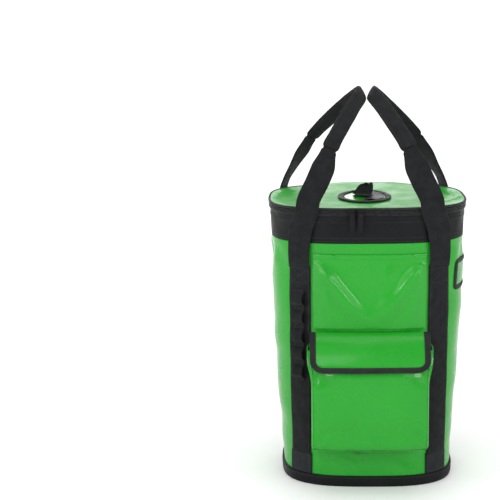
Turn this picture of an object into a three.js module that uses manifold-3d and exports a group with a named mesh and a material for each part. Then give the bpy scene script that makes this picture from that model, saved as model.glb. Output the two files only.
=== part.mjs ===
// Rope storage bag: a tapered bucket of coated fabric with a zipped lid, two webbing carry handles,
// padded shoulder straps on the back and a bellows pocket on the front.
// Millimetres, +Z up, front towards -Y. The origin is the middle of the base, on the ground.
import * as THREE from "three";
import { mergeVertices } from "three/addons/utils/BufferGeometryUtils.js";
import Module from "manifold-3d";

const wasm = await Module();
wasm.setup();

// ---------------------------------------------------------------- driving dimensions
const SECTION_POWER = 3; // roundness of the horizontal section, a superellipse
const BASE_HALF = { x: 154, y: 126.8 };
const TOP_HALF = { x: 170, y: 140 };
const TOP_Z = 490; // where TOP_HALF is measured
// The straight taper, drawn in at the foot of the bag and bellied out above the pocket.
const BELLY = { tuck: 4.6, swell: 6.8, from: 60, to: 230, fade: 2.2, fadeFrom: 330, fadeTo: 430 };
const WALL = 2.5;
const GAP = 0.4;
const LAYER = 0.7; // how far a sewn layer stands off the curved wall
const AROUND = 64; // facets around the body
const RING_STEP = 55; // tallest facet on the wall

const BODY_TOP_Z = 437;
const COLLAR_TOP_Z = 484.6;
const ZIP_TAPE = { height: 4, inner: -1.2, outer: 3 };
const ZIP_SPLIT_Z = 489.2;
const LID = { bottom: 495, top: 498, bindingBottom: 493.8, bindingTop: 499, bindingOut: 3.2 };
const HINGE_PANEL = { halfWidth: 92, bottom: 474, top: 493, thickness: 1.2 };
const BASE = { panel: 3, board: 3.2, trimHeight: 20, trimOut: 4 };
const HOOP = { bottom: 466, top: 474, outer: -3.2, inner: -7 };

const WEBBING = { width: 40, thickness: 2.5 };
const STRAP = { bottom: 55.4, top: 394, frontX: 118, backX: 128, lift: 4.4 };
const PATCH = { bottom: 20.6, top: 55, width: 44, thickness: 2 };
const OVERLAY = { halfWidth: 96, bottom: 288, top: 418, thickness: 1.2 };
const POCKET = { halfWidth: 100, bottom: 75, top: 276, frontTop: 250, frontY: -172, backY: -88 };
const POCKET_FABRIC = { wall: 2, corner: 16 };
const FLAP = { halfWidth: 103, hingeY: -139.5, hingeZ: 284, frontY: -179, turnZ: 240 };
const FLAP_BEND = { y: -172, z: 272 };
const FLAP_SKIRT = { bottom: 222, thickness: 2 };
const FLAP_BINDING = { width: 10, extra: 0.5, corner: 20 };
const BACK_PANEL = { halfWidth: 84, bottom: 24, top: 380, thickness: 2.2 };
const BACK_BAND = { halfWidth: 84, bottom: 382, top: 418, thickness: 1.8 };
const CARD = { front: -95, back: 90, bottom: 346, top: 400, border: 8, thickness: 1.4, pane: 0.7 };

const GEAR_LOOP = { count: 5, pitch: 32.6, top: 356, x: 117.5, width: 21, thickness: 1.6, rise: 9.5 };
const PORT = { x: -4, y: -22, halfX: 36, halfY: 52, rim: 11, rimHeight: 3, flapThickness: 1.4 };
const PULL_TAB = { width: 30, height: 26, thickness: 4, behind: 6 };
const PULL_TAB_TOP = { left: 0.6, right: 0.5, leftHeight: 0.86 }; // as shares of its half width and height
const SLIDER = { width: 9, height: 13, depth: 5, spots: [-30, -16] };
const PULL = { width: 8, length: 30, thickness: 2 };

const HAUL = { x: 40, bottom: 431, width: 25, thickness: 2.2 };
const PAD = { topZ: 420, nearY: 143, thickness: 12, bindingThickness: 9, binding: 10 };
const LOCK = { x: 97, y: 151, z: 160, width: 32, height: 36, thickness: 4.5, tilt: 22 };
const LOCK_FRAME = { bar: 4.5, side: 3, chamfer: 5, middleBars: [-6, 5] }; // the middle bars' lower edges
const WING = { outerX: 86, tipX: 64, top: 126, tipZ: 97, bottom: 51, nearY: 135, farY: 137 };
const NARROW = { width: 25, thickness: 2 };
const GRIP = { thickness: 9, scale: 1.22, coreScale: 1.04 }; // widths as multiples of the webbing's
const PIVOT_Z = 510;

// ---------------------------------------------------------------- materials
const finish = (color, roughness, metalness = 0) => ({ color, roughness, metalness });
const FINISH = {
  tarpaulin: finish(0x34aa37, 0.28),
  coatedBlack: finish(0x1c1d1f, 0.45),
  webbing: finish(0x222426, 0.85),
  binding: finish(0x1a1b1d, 0.8),
  patch: finish(0x34383e, 0.6),
  zip: finish(0x141516, 0.35),
  metal: finish(0x2a2b2d, 0.35, 0.8),
  plastic: finish(0x18191a, 0.4),
  board: finish(0x2c2e30, 0.6),
  clear: finish(0x9fd0a0, 0.1),
};

// ---------------------------------------------------------------- the wall of the bag
const TABLE_STEPS = 720;
const tables = new Map();

const belly = (z) =>
  BELLY.swell * THREE.MathUtils.smoothstep(z, BELLY.from, BELLY.to) -
  BELLY.fade * THREE.MathUtils.smoothstep(z, BELLY.fadeFrom, BELLY.fadeTo) -
  BELLY.tuck;

function halfSizes(z) {
  const t = z / TOP_Z;
  const x = BASE_HALF.x + (TOP_HALF.x - BASE_HALF.x) * t;
  const y = BASE_HALF.y + (TOP_HALF.y - BASE_HALF.y) * t;
  const grow = 1 + belly(z) / x;
  return { x: x * grow, y: y * grow };
}

// Points down one half of the section, from the front middle round to the back middle.
function sectionTable(z) {
  if (tables.has(z)) return tables.get(z);
  const half = halfSizes(z);
  const points = [];
  let length = 0;
  for (let i = 0; i <= TABLE_STEPS; i++) {
    const angle = (Math.PI * i) / TABLE_STEPS;
    const cos = Math.cos(angle);
    const x = half.x * Math.pow(Math.max(Math.sin(angle), 0), 2 / SECTION_POWER);
    const y = -half.y * Math.sign(cos) * Math.pow(Math.abs(cos), 2 / SECTION_POWER);
    if (i > 0) length += Math.hypot(x - points[i - 1].x, y - points[i - 1].y);
    points.push({ x, y, length });
  }
  const table = { half, points, length };
  tables.set(z, table);
  return table;
}

function spotOn(table, distance, key) {
  const { points } = table;
  let low = 0;
  let high = points.length - 1;
  while (high - low > 1) {
    const middle = (low + high) >> 1;
    if (points[middle][key] > distance) high = middle;
    else low = middle;
  }
  const span = points[high][key] - points[low][key];
  const t = span ? (distance - points[low][key]) / span : 0;
  const mix = (name) => points[low][name] + (points[high][name] - points[low][name]) * t;
  return { x: mix("x"), y: mix("y"), length: mix("length") };
}

// A point on the wall: distance is measured around the bag from the front middle, positive towards +X.
function wallPoint(z, distance, offset) {
  const table = sectionTable(z);
  const around = 2 * table.length;
  let turn = ((distance % around) + around) % around;
  const mirrored = turn > table.length;
  if (mirrored) turn = around - turn;
  const spot = spotOn(table, turn, "length");
  const power = SECTION_POWER - 1;
  const nx = Math.pow(spot.x / table.half.x, power) / table.half.x;
  const ny = (Math.sign(spot.y) * Math.pow(Math.abs(spot.y) / table.half.y, power)) / table.half.y;
  const size = Math.hypot(nx, ny);
  const x = spot.x + (nx / size) * offset;
  return new THREE.Vector3(mirrored ? -x : x, spot.y + (ny / size) * offset, z);
}

// The distance around the bag of the wall's point at this x, on the front or the back.
function distanceAt(z, x, onBack) {
  const table = sectionTable(z);
  const half = table.half;
  const y = half.y * Math.pow(1 - Math.pow(Math.abs(x) / half.x, SECTION_POWER), 1 / SECTION_POWER);
  return Math.sign(x || 1) * spotOn(table, onBack ? y : -y, "y").length;
}

const sideDistance = (z, y) => spotOn(sectionTable(z), y, "y").length;
const ringHeights = (bottom, top) => steps(bottom, top, Math.ceil((top - bottom) / RING_STEP));
const steps = (from, to, count) =>
  Array.from({ length: count + 1 }, (_, i) => from + ((to - from) * i) / count);

// ---------------------------------------------------------------- solids
function geometryOf(positions, indices) {
  const geometry = new THREE.BufferGeometry();
  geometry.setAttribute("position", new THREE.Float32BufferAttribute(positions, 3));
  geometry.setIndex(indices);
  return outward(geometry);
}

function outward(geometry) {
  const p = geometry.getAttribute("position");
  const index = geometry.getIndex();
  const [a, b, c] = [new THREE.Vector3(), new THREE.Vector3(), new THREE.Vector3()];
  let volume = 0;
  for (let i = 0; i < index.count; i += 3) {
    a.fromBufferAttribute(p, index.getX(i));
    b.fromBufferAttribute(p, index.getX(i + 1));
    c.fromBufferAttribute(p, index.getX(i + 2));
    volume += a.dot(b.cross(c));
  }
  if (volume < 0) geometry.setIndex(Array.from(index.array).reverse());
  geometry.computeVertexNormals();
  return geometry;
}

// A closed solid between two grids of points. closed joins the last row of the grid to the first.
function sheetSolid(outer, inner, closed = false) {
  const rows = outer.length;
  const columns = outer[0].length;
  const positions = [...outer.flat(), ...inner.flat()].flatMap((v) => [v.x, v.y, v.z]);
  const at = (side, i, j) => side * rows * columns + (i % rows) * columns + j;
  const indices = [];
  const quad = (a, b, c, d) => indices.push(a, b, c, a, c, d);
  const lastRow = closed ? rows : rows - 1;
  for (let i = 0; i < lastRow; i++) {
    for (let j = 0; j < columns - 1; j++) {
      quad(at(0, i, j), at(0, i + 1, j), at(0, i + 1, j + 1), at(0, i, j + 1));
      quad(at(1, i, j), at(1, i, j + 1), at(1, i + 1, j + 1), at(1, i + 1, j));
    }
    quad(at(0, i, 0), at(1, i, 0), at(1, i + 1, 0), at(0, i + 1, 0));
    const end = columns - 1;
    quad(at(0, i, end), at(0, i + 1, end), at(1, i + 1, end), at(1, i, end));
  }
  if (!closed) {
    for (let j = 0; j < columns - 1; j++) {
      quad(at(0, 0, j), at(0, 0, j + 1), at(1, 0, j + 1), at(1, 0, j));
      const end = rows - 1;
      quad(at(0, end, j), at(1, end, j), at(1, end, j + 1), at(0, end, j + 1));
    }
  }
  return geometryOf(positions, indices);
}

// A ring of fabric all the way round the bag.
function wallRing(bottom, top, inner, outer) {
  const heights = ringHeights(bottom, top);
  const ring = (offset) =>
    Array.from({ length: AROUND }, (_, i) =>
      heights.map((z) => wallPoint(z, (2 * sectionTable(z).length * i) / AROUND, offset)),
    );
  return sheetSolid(ring(outer), ring(inner), true);
}

// A layer on the wall: columns(z) gives the distances around the bag at that height.
function wallPatch(bottom, top, columns, inner, outer) {
  const heights = ringHeights(bottom, top);
  const grid = (offset) => heights.map((z) => columns(z).map((distance) => wallPoint(z, distance, offset)));
  return sheetSolid(grid(outer), grid(inner));
}

const frontSpan = (halfWidth, count) => (z) =>
  steps(-1, 1, count).map((t) => t * distanceAt(z, halfWidth, false));
const backSpan = (halfWidth, count) => (z) => {
  const middle = sectionTable(z).length;
  const reach = middle - distanceAt(z, halfWidth, true);
  return steps(-1, 1, count).map((t) => middle + t * reach);
};

// A flat band along a path. Each stop is { p: point, w: direction across the band, width }.
function bandGrids(stops, thickness, count, widthScale = 1) {
  const path = new THREE.CatmullRomCurve3(stops.map((s) => s.p), false, "centripetal");
  const across = new THREE.CatmullRomCurve3(stops.map((s) => s.w), false, "catmullrom", 0.3);
  const widths = stops.map((s) => s.width);
  const [outer, inner] = [[], []];
  for (const t of steps(0, 1, count)) {
    const p = path.getPoint(t);
    const tangent = path.getTangent(t);
    const w = across.getPoint(t);
    w.addScaledVector(tangent, -w.dot(tangent)).normalize();
    const normal = new THREE.Vector3().crossVectors(w, tangent);
    const at = t * (widths.length - 1);
    const i = Math.min(Math.floor(at), widths.length - 2);
    const half = ((widths[i] + (widths[i + 1] - widths[i]) * (at - i)) * widthScale) / 2;
    const row = (side) =>
      [-half, half].map((d) =>
        p.clone().addScaledVector(w, d).addScaledVector(normal, (side * thickness) / 2),
      );
    outer.push(row(1));
    inner.push(row(-1));
  }
  return [outer, inner];
}

const band = (stops, thickness, count) => sheetSolid(...bandGrids(stops, thickness, count));
const stop = (x, y, z, w, width) => ({
  p: new THREE.Vector3(x, y, z),
  w: new THREE.Vector3(...w),
  width,
});
const mirrorStop = (s) => ({
  p: new THREE.Vector3(-s.p.x, s.p.y, s.p.z),
  w: new THREE.Vector3(-s.w.x, s.w.y, s.w.z),
  width: s.width,
});

function outlineShape(z, offset) {
  const around = 2 * sectionTable(z).length;
  const points = Array.from({ length: AROUND }, (_, i) => wallPoint(z, (around * i) / AROUND, offset));
  return new THREE.Shape(points.map((v) => new THREE.Vector2(v.x, v.y)));
}

function ovalPoints(halfX, halfY, count) {
  return Array.from({ length: count }, (_, i) => {
    const angle = (2 * Math.PI * i) / count;
    return new THREE.Vector2(PORT.x + halfX * Math.cos(angle), PORT.y + halfY * Math.sin(angle));
  });
}

const merged = (geometry) => {
  const plain = geometry.clone();
  for (const name of Object.keys(plain.attributes)) {
    if (name !== "position") plain.deleteAttribute(name);
  }
  return outward(mergeVertices(plain, 1e-4));
};

function extrudeUp(shape, bottom, top, curveSegments = 12) {
  const options = { depth: top - bottom, bevelEnabled: false, curveSegments };
  return merged(new THREE.ExtrudeGeometry(shape, options).translate(0, 0, bottom));
}

// A shape drawn in x and z, with its thickness along y.
const extrudeAlongY = (shape, near, far) =>
  merged(
    new THREE.ExtrudeGeometry(shape, { depth: far - near, bevelEnabled: false })
      .rotateX(Math.PI / 2)
      .translate(0, far, 0),
  );

// A shape drawn in y and z, with its length along x.
const extrudeAlongX = (shape, halfLength) =>
  merged(
    new THREE.ExtrudeGeometry(shape, { depth: 2 * halfLength, bevelEnabled: false })
      .applyMatrix4(new THREE.Matrix4().set(0, 0, 1, 0, 1, 0, 0, 0, 0, 1, 0, 0, 0, 0, 0, 1))
      .translate(-halfLength, 0, 0),
  );

function solidOf(geometry) {
  const plain = merged(geometry);
  return new wasm.Manifold(
    new wasm.Mesh({
      numProp: 3,
      vertProperties: new Float32Array(plain.getAttribute("position").array),
      triVerts: new Uint32Array(plain.getIndex().array),
    }),
  );
}

function geometryFrom(solid) {
  const mesh = solid.getMesh();
  return geometryOf(Array.from(mesh.vertProperties), Array.from(mesh.triVerts));
}

const cut = (geometry, ...tools) =>
  geometryFrom(tools.reduce((left, tool) => left.subtract(solidOf(tool)), solidOf(geometry)));
const common = (a, b) => geometryFrom(solidOf(a).intersect(solidOf(b)));
const box = (x0, x1, y0, y1, z0, z1) =>
  new THREE.BoxGeometry(x1 - x0, y1 - y0, z1 - z0).translate((x0 + x1) / 2, (y0 + y1) / 2, (z0 + z1) / 2);

// ---------------------------------------------------------------- the assembly
const bag = new THREE.Group();
function add(name, geometry, look) {
  const mesh = new THREE.Mesh(geometry, new THREE.MeshStandardMaterial(look));
  mesh.name = name;
  bag.add(mesh);
  return mesh;
}
const SIDES = [
  ["left", -1],
  ["right", 1],
];
const mirrored = (stops, side) => (side < 0 ? stops : stops.map(mirrorStop));

function addBody() {
  add("base_panel", extrudeUp(outlineShape(0, 0), 0, BASE.panel), FINISH.coatedBlack);
  const boardBottom = BASE.panel + GAP;
  const board = outlineShape(boardBottom, -WALL - 2 * GAP);
  add("base_stiffener", extrudeUp(board, boardBottom, boardBottom + BASE.board), FINISH.board);
  add("base_trim", wallRing(0, BASE.trimHeight, LAYER, BASE.trimOut), FINISH.binding);
  add("body_shell", wallRing(BASE.panel + GAP, BODY_TOP_Z, -WALL, 0), FINISH.tarpaulin);
  add("collar", wallRing(BODY_TOP_Z + GAP, COLLAR_TOP_Z, -WALL, 0), FINISH.coatedBlack);
  add("rim_hoop", wallRing(HOOP.bottom, HOOP.top, HOOP.inner, HOOP.outer), FINISH.plastic);
}

// The zip runs from one end of the hinge panel round the front to the other end.
function zipTape(bottom) {
  const top = bottom + ZIP_TAPE.height;
  const rows = (offset) => {
    const end = distanceAt(bottom, HINGE_PANEL.halfWidth + GAP + 1, true);
    return steps(-end, end, AROUND).map((distance) =>
      [bottom, top].map((z) => wallPoint(z, distance, offset)),
    );
  };
  return sheetSolid(rows(ZIP_TAPE.outer), rows(ZIP_TAPE.inner));
}

function addZip() {
  add("zip_tape_lower", zipTape(ZIP_SPLIT_Z - GAP / 2 - ZIP_TAPE.height + 0.2), FINISH.zip);
  add("zip_tape_upper", zipTape(ZIP_SPLIT_Z + GAP / 2), FINISH.zip);
  SLIDER.spots.forEach((x, i) => {
    const name = SIDES[i][0];
    const back = wallPoint(ZIP_SPLIT_Z, distanceAt(ZIP_SPLIT_Z, x, false), LID.bindingOut + 2 * GAP).y;
    const front = back - SLIDER.depth;
    const half = SLIDER.width / 2;
    const low = ZIP_SPLIT_Z - SLIDER.height / 2;
    const body = box(x - half, x + half, front, back, low, low + SLIDER.height);
    const notch = box(x - half - 1, x + half + 1, front - 1, front + 2.6, ZIP_SPLIT_Z - 3, ZIP_SPLIT_Z + 3);
    add(`zip_slider_${name}`, cut(body, notch), FINISH.metal);
    const shape = new THREE.Shape();
    const reach = PULL.width / 2;
    shape.moveTo(x - reach, ZIP_SPLIT_Z + 2.4);
    shape.lineTo(x - reach, ZIP_SPLIT_Z - PULL.length + reach);
    shape.absarc(x, ZIP_SPLIT_Z - PULL.length + reach, reach, Math.PI, 2 * Math.PI, false);
    shape.lineTo(x + reach, ZIP_SPLIT_Z + 2.4);
    add(`zip_pull_${name}`, extrudeAlongY(shape, front - GAP - PULL.thickness, front - GAP), FINISH.metal);
  });
}

function addLid() {
  const hole = new THREE.Path(ovalPoints(PORT.halfX, PORT.halfY, 32));
  const plate = outlineShape(LID.bottom, -GAP);
  plate.holes.push(hole);
  add("lid_panel", extrudeUp(plate, LID.bottom, LID.top), FINISH.tarpaulin);
  add("lid_binding", wallRing(LID.bindingBottom, LID.bindingTop, LAYER, LID.bindingOut), FINISH.binding);
  const hinge = backSpan(HINGE_PANEL.halfWidth, 14);
  const hingeTop = LAYER + HINGE_PANEL.thickness;
  const hingePanel = wallPatch(HINGE_PANEL.bottom, HINGE_PANEL.top, hinge, LAYER, hingeTop);
  add("lid_hinge_panel", hingePanel, FINISH.tarpaulin);

  const rim = new THREE.Shape(ovalPoints(PORT.halfX + PORT.rim, PORT.halfY + PORT.rim, 40));
  rim.holes.push(new THREE.Path(ovalPoints(PORT.halfX + 0.6, PORT.halfY + 0.6, 40)));
  const rimBottom = LID.top + GAP;
  add("port_rim", extrudeUp(rim, rimBottom, rimBottom + PORT.rimHeight), FINISH.binding);
  const flap = new THREE.Shape(ovalPoints(PORT.halfX - 0.6, PORT.halfY - 0.6, 32));
  add("port_flap", extrudeUp(flap, rimBottom, rimBottom + PORT.flapThickness), FINISH.tarpaulin);
  const tabBottom = rimBottom + PORT.flapThickness + GAP;
  const halfTab = PULL_TAB.width / 2;
  const tab = new THREE.Shape();
  tab.moveTo(PORT.x - halfTab, tabBottom);
  tab.lineTo(PORT.x + halfTab, tabBottom);
  tab.lineTo(PORT.x + halfTab * PULL_TAB_TOP.right, tabBottom + PULL_TAB.height);
  tab.lineTo(PORT.x - halfTab * PULL_TAB_TOP.left, tabBottom + PULL_TAB.height * PULL_TAB_TOP.leftHeight);
  const near = PORT.y + PULL_TAB.behind;
  add("port_pull_tab", extrudeAlongY(tab, near, near + PULL_TAB.thickness), FINISH.webbing);
}

// The webbing sewn down the wall, from the wear patch up to where it leaves the wall.
function strapColumns(x, onBack, width) {
  return (z) => {
    const middle = distanceAt(z, x, onBack);
    return steps(-width / 2, width / 2, 4).map((d) => middle + d);
  };
}

function addSewnStraps() {
  const outer = LAYER + WEBBING.thickness;
  for (const [name, side] of SIDES) {
    for (const [place, x, onBack] of [["front", STRAP.frontX, false], ["back", STRAP.backX, true]]) {
      const columns = strapColumns(side * x, onBack, WEBBING.width);
      const strap = wallPatch(STRAP.bottom, STRAP.top, columns, LAYER, outer);
      add(`${place}_strap_${name}`, strap, FINISH.webbing);
      const patch = strapColumns(side * x, onBack, PATCH.width);
      const wear = wallPatch(PATCH.bottom, PATCH.top, patch, LAYER, LAYER + PATCH.thickness);
      add(`${place}_wear_patch_${name}`, wear, FINISH.patch);
    }
  }
}

// Where the straps leave the wall they run free over the collar, up to the handles' fold.
const wallStop = (z, x, onBack, offset, w) => {
  const p = wallPoint(z, distanceAt(z, x, onBack), offset);
  return { p, w: new THREE.Vector3(...w), width: WEBBING.width };
};
const HANDLE_AXIS = new THREE.Vector3(-46.3, 280, 0).normalize();
const ACROSS_FRONT = [HANDLE_AXIS.y, -HANDLE_AXIS.x, 0];
const ACROSS_BACK = HANDLE_AXIS.toArray();

function frontRiser() {
  return [
    wallStop(STRAP.top + 2 * GAP, -STRAP.frontX, false, STRAP.lift, [0.88, -0.48, 0]),
    wallStop(430, -117, false, 6, [0.9, -0.42, 0]),
    wallStop(466, -112, false, 8.5, [0.96, -0.2, -0.1]),
    stop(-106, -142.4, 492, ACROSS_FRONT, WEBBING.width),
    stop(-103, -143, 512, ACROSS_FRONT, WEBBING.width),
  ];
}

function backRiser() {
  return [
    wallStop(STRAP.top + 2 * GAP, -STRAP.backX, true, STRAP.lift, [0.83, 0.56, 0]),
    wallStop(430, -132, true, 7, [0.75, 0.66, 0]),
    stop(-144.5, 128, 466, [0.3, 0.95, 0], WEBBING.width),
    stop(-147.5, 132, 492, ACROSS_BACK, WEBBING.width),
    stop(-147.5, 133, PIVOT_Z - 3, ACROSS_BACK, WEBBING.width),
  ];
}

// The loop of one handle, from its front end over the crest to its back end.
const HANDLE_STOPS = [
  stop(-107, -146.8, 499, [0.95, 0.15, -0.3], WEBBING.width),
  stop(-102, -147, 515, [0.93, 0.15, -0.34], WEBBING.width),
  stop(-89, -145.5, 542, [0.9, 0.1, -0.4], WEBBING.width),
  stop(-77, -139.5, 569, [0.9, 0, -0.44], WEBBING.width),
  stop(-66, -125, 598, [0.87, -0.1, -0.5], 23),
  stop(-44, -92, 634, [0.75, -0.2, -0.63], 22),
  stop(-25, -52, 661, [0.6, -0.1, -0.78], 22),
  stop(-10.6, 0, 679, [0.42, 0, -0.91], 22),
  stop(-30, 50, 658, [0.55, 0.25, -0.75], 22),
  stop(-58, 86, 626, [0.6, 0.45, -0.6], 22),
  stop(-88, 110, 592, [0.5, 0.75, -0.4], 23),
  stop(-110, 121, 565, [0.42, 0.85, -0.2], WEBBING.width),
  stop(-132, 130, 539, [0.1, 0.97, -0.1], WEBBING.width),
  stop(-147.2, 133, PIVOT_Z + 3.4, ACROSS_BACK, WEBBING.width),
];
const HANDLE_STEPS = 52;
const GRIP_SPAN = [4, 10]; // the stops between which the grip covers the webbing

function addHandles() {
  for (const [name, side] of SIDES) {
    add(`front_riser_${name}`, band(mirrored(frontRiser(), side), WEBBING.thickness, 12), FINISH.webbing);
    add(`back_riser_${name}`, band(mirrored(backRiser(), side), WEBBING.thickness, 12), FINISH.webbing);
    const stops = mirrored(HANDLE_STOPS, side);
    add(`handle_${name}`, band(stops, WEBBING.thickness, HANDLE_STEPS), FINISH.webbing);
    const [outer, inner] = bandGrids(stops, GRIP.thickness, HANDLE_STEPS, GRIP.scale);
    const perStop = HANDLE_STEPS / (stops.length - 1);
    const [first, last] = GRIP_SPAN.map((i) => Math.round(i * perStop));
    const sleeve = sheetSolid(outer.slice(first, last + 1), inner.slice(first, last + 1));
    const coreThickness = WEBBING.thickness + 2 * GAP;
    const [coreOuter, coreInner] = bandGrids(stops, coreThickness, HANDLE_STEPS, GRIP.coreScale);
    const core = sheetSolid(coreOuter.slice(first - 1, last + 2), coreInner.slice(first - 1, last + 2));
    add(`grip_${name}`, cut(sleeve, core), FINISH.webbing);
  }
}

function addFrontPanels() {
  const overlay = wallPatch(
    OVERLAY.bottom,
    OVERLAY.top,
    frontSpan(OVERLAY.halfWidth, 12),
    LAYER,
    LAYER + OVERLAY.thickness,
  );
  add("front_overlay_panel", overlay, FINISH.tarpaulin);
}

// The pocket's plan: straight sides that start at the wall and round off into the front.
function pocketShape(inset) {
  const half = POCKET.halfWidth - inset;
  const front = POCKET.frontY + inset;
  const r = POCKET_FABRIC.corner - inset;
  const shape = new THREE.Shape();
  shape.moveTo(-half, POCKET.backY);
  shape.lineTo(-half, front + r);
  shape.absarc(-half + r, front + r, r, Math.PI, 1.5 * Math.PI, false);
  shape.lineTo(half - r, front);
  shape.absarc(half - r, front + r, r, 1.5 * Math.PI, 2 * Math.PI, false);
  shape.lineTo(half, POCKET.backY);
  return shape;
}

// The whole volume of the bag between two heights, a little proud of its wall.
function bagVolume(bottom, top, offset) {
  const ring = (z) => {
    const around = 2 * sectionTable(z).length;
    return Array.from({ length: AROUND }, (_, i) => wallPoint(z, (around * i) / AROUND, offset));
  };
  const heights = ringHeights(bottom, top);
  const points = heights.flatMap(ring);
  const lid = (heights.length - 1) * AROUND;
  const indices = [];
  for (let i = 0; i < AROUND; i++) {
    const next = (i + 1) % AROUND;
    for (let low = 0; low < lid; low += AROUND) {
      const high = low + AROUND;
      indices.push(low + i, low + next, high + next, low + i, high + next, high + i);
    }
    if (i > 0 && i < AROUND - 1) {
      indices.push(0, i + 1, i);
      indices.push(lid, lid + i, lid + i + 1);
    }
  }
  return geometryOf(points.flatMap((v) => [v.x, v.y, v.z]), indices);
}

function addPocket() {
  const block = extrudeUp(pocketShape(0), POCKET.bottom, POCKET.top, 4);
  const { wall } = POCKET_FABRIC;
  const inside = extrudeUp(pocketShape(wall), POCKET.bottom + wall, POCKET.top + 10, 4);
  const bagSolid = bagVolume(POCKET.bottom - 30, POCKET.top + 30, LAYER);
  const mouth = new THREE.Shape();
  mouth.moveTo(POCKET.backY, POCKET.top + 1);
  mouth.lineTo(FLAP.hingeY, POCKET.top + 1);
  mouth.lineTo(POCKET.frontY - 1, POCKET.frontTop);
  mouth.lineTo(POCKET.frontY - 1, POCKET.top + 2);
  mouth.lineTo(POCKET.backY, POCKET.top + 2);
  const slope = extrudeAlongX(mouth, POCKET.halfWidth + 1);
  add("pocket_body", cut(block, inside, bagSolid, slope), FINISH.tarpaulin);
}

// The flap's side view: sloping out over the pocket's mouth, then straight down its front.
function flapProfile(extra) {
  const depth = FLAP_SKIRT.thickness + extra;
  const front = FLAP.frontY - extra;
  const back = FLAP.frontY + depth;
  const shape = new THREE.Shape();
  shape.moveTo(FLAP.hingeY, FLAP.hingeZ);
  shape.quadraticCurveTo(FLAP_BEND.y - extra, FLAP_BEND.z, front, FLAP.turnZ);
  shape.lineTo(front, FLAP_SKIRT.bottom);
  shape.lineTo(back, FLAP_SKIRT.bottom);
  shape.lineTo(back, FLAP.turnZ - depth);
  shape.quadraticCurveTo(FLAP_BEND.y + depth, FLAP_BEND.z - depth, FLAP.hingeY, FLAP.hingeZ - depth);
  return shape;
}

function flapOutline(inset) {
  const half = FLAP.halfWidth - inset;
  const bottom = FLAP_SKIRT.bottom + inset;
  const r = Math.max(FLAP_BINDING.corner - inset, 6);
  const top = FLAP.hingeZ + 20;
  const shape = new THREE.Shape();
  shape.moveTo(-half, top);
  shape.lineTo(-half, bottom + r);
  shape.absarc(-half + r, bottom + r, r, Math.PI, 1.5 * Math.PI, false);
  shape.lineTo(half - r, bottom);
  shape.absarc(half - r, bottom + r, r, 1.5 * Math.PI, 2 * Math.PI, false);
  shape.lineTo(half, top);
  return shape;
}

function addFlap() {
  const reach = [FLAP.frontY - 20, FLAP.hingeY + 20];
  const thin = extrudeAlongX(flapProfile(0), FLAP.halfWidth);
  const thick = extrudeAlongX(flapProfile(FLAP_BINDING.extra), FLAP.halfWidth);
  const panelOutline = extrudeAlongY(flapOutline(FLAP_BINDING.width + GAP), ...reach);
  add("flap_panel", common(thin, panelOutline), FINISH.tarpaulin);
  const edge = common(thick, extrudeAlongY(flapOutline(0), ...reach));
  add("flap_binding", cut(edge, extrudeAlongY(flapOutline(FLAP_BINDING.width), ...reach)), FINISH.binding);
}

function addGearLoops() {
  for (let i = 0; i < GEAR_LOOP.count; i++) {
    const top = GEAR_LOOP.top - i * GEAR_LOOP.pitch;
    const base = LAYER + WEBBING.thickness + 3 * GAP + GEAR_LOOP.thickness / 2;
    const length = GEAR_LOOP.pitch - 1;
    const spots = [
      [0, 0],
      [0.12, 0],
      [0.25, 0.72],
      [0.5, 1],
      [0.75, 0.72],
      [0.88, 0],
      [1, 0],
    ];
    const stops = spots.map(([t, rise]) => {
      const z = top - t * length;
      const spot = wallStop(z, -GEAR_LOOP.x, false, base + rise * GEAR_LOOP.rise, [0.87, -0.49, 0]);
      return { ...spot, width: GEAR_LOOP.width };
    });
    add(`gear_loop_${i + 1}`, band(stops, GEAR_LOOP.thickness, 12), FINISH.webbing);
  }
}

function addCardWindow() {
  const span = (inset, count) => (z) =>
    steps(CARD.front + inset, CARD.back - inset, count).map((y) => sideDistance(z, y));
  const layer = (inset, count, inner, outer) =>
    wallPatch(CARD.bottom + inset, CARD.top - inset, span(inset, count), inner, outer);
  const border = layer(0, 16, LAYER, LAYER + CARD.thickness);
  const opening = layer(CARD.border, 16, LAYER - 3, LAYER + CARD.thickness + 3);
  add("card_window_border", cut(border, opening), FINISH.binding);
  const inset = CARD.border + GAP + 0.2;
  add("card_window", layer(inset, 14, LAYER, LAYER + CARD.pane), FINISH.clear);
}

function addBack() {
  const panel = wallPatch(
    BACK_PANEL.bottom,
    BACK_PANEL.top,
    backSpan(BACK_PANEL.halfWidth, 10),
    LAYER,
    LAYER + BACK_PANEL.thickness,
  );
  add("back_panel", panel, FINISH.tarpaulin);
  const strip = wallPatch(
    BACK_BAND.bottom,
    BACK_BAND.top,
    backSpan(BACK_BAND.halfWidth, 10),
    LAYER,
    LAYER + BACK_BAND.thickness,
  );
  add("shoulder_strap_band", strip, FINISH.webbing);
  const haul = [
    stop(HAUL.x, 142.6, HAUL.bottom, [1, 0, 0], HAUL.width),
    stop(HAUL.x - 0.5, 143.2, HAUL.bottom + 14, [0.98, 0, 0.2], HAUL.width),
    stop(HAUL.x - 12, 151, HAUL.bottom + 30, [0.65, -0.1, 0.75], HAUL.width),
    stop(0, 160, HAUL.bottom + 37, [0, -0.3, 0.95], HAUL.width),
    stop(-HAUL.x + 12, 151, HAUL.bottom + 30, [-0.65, -0.1, 0.75], HAUL.width),
    stop(-HAUL.x + 0.5, 143.2, HAUL.bottom + 14, [-0.98, 0, 0.2], HAUL.width),
    stop(-HAUL.x, 142.6, HAUL.bottom, [-1, 0, 0], HAUL.width),
  ];
  add("haul_loop", band(haul, HAUL.thickness, 24), FINISH.webbing);
}

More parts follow.
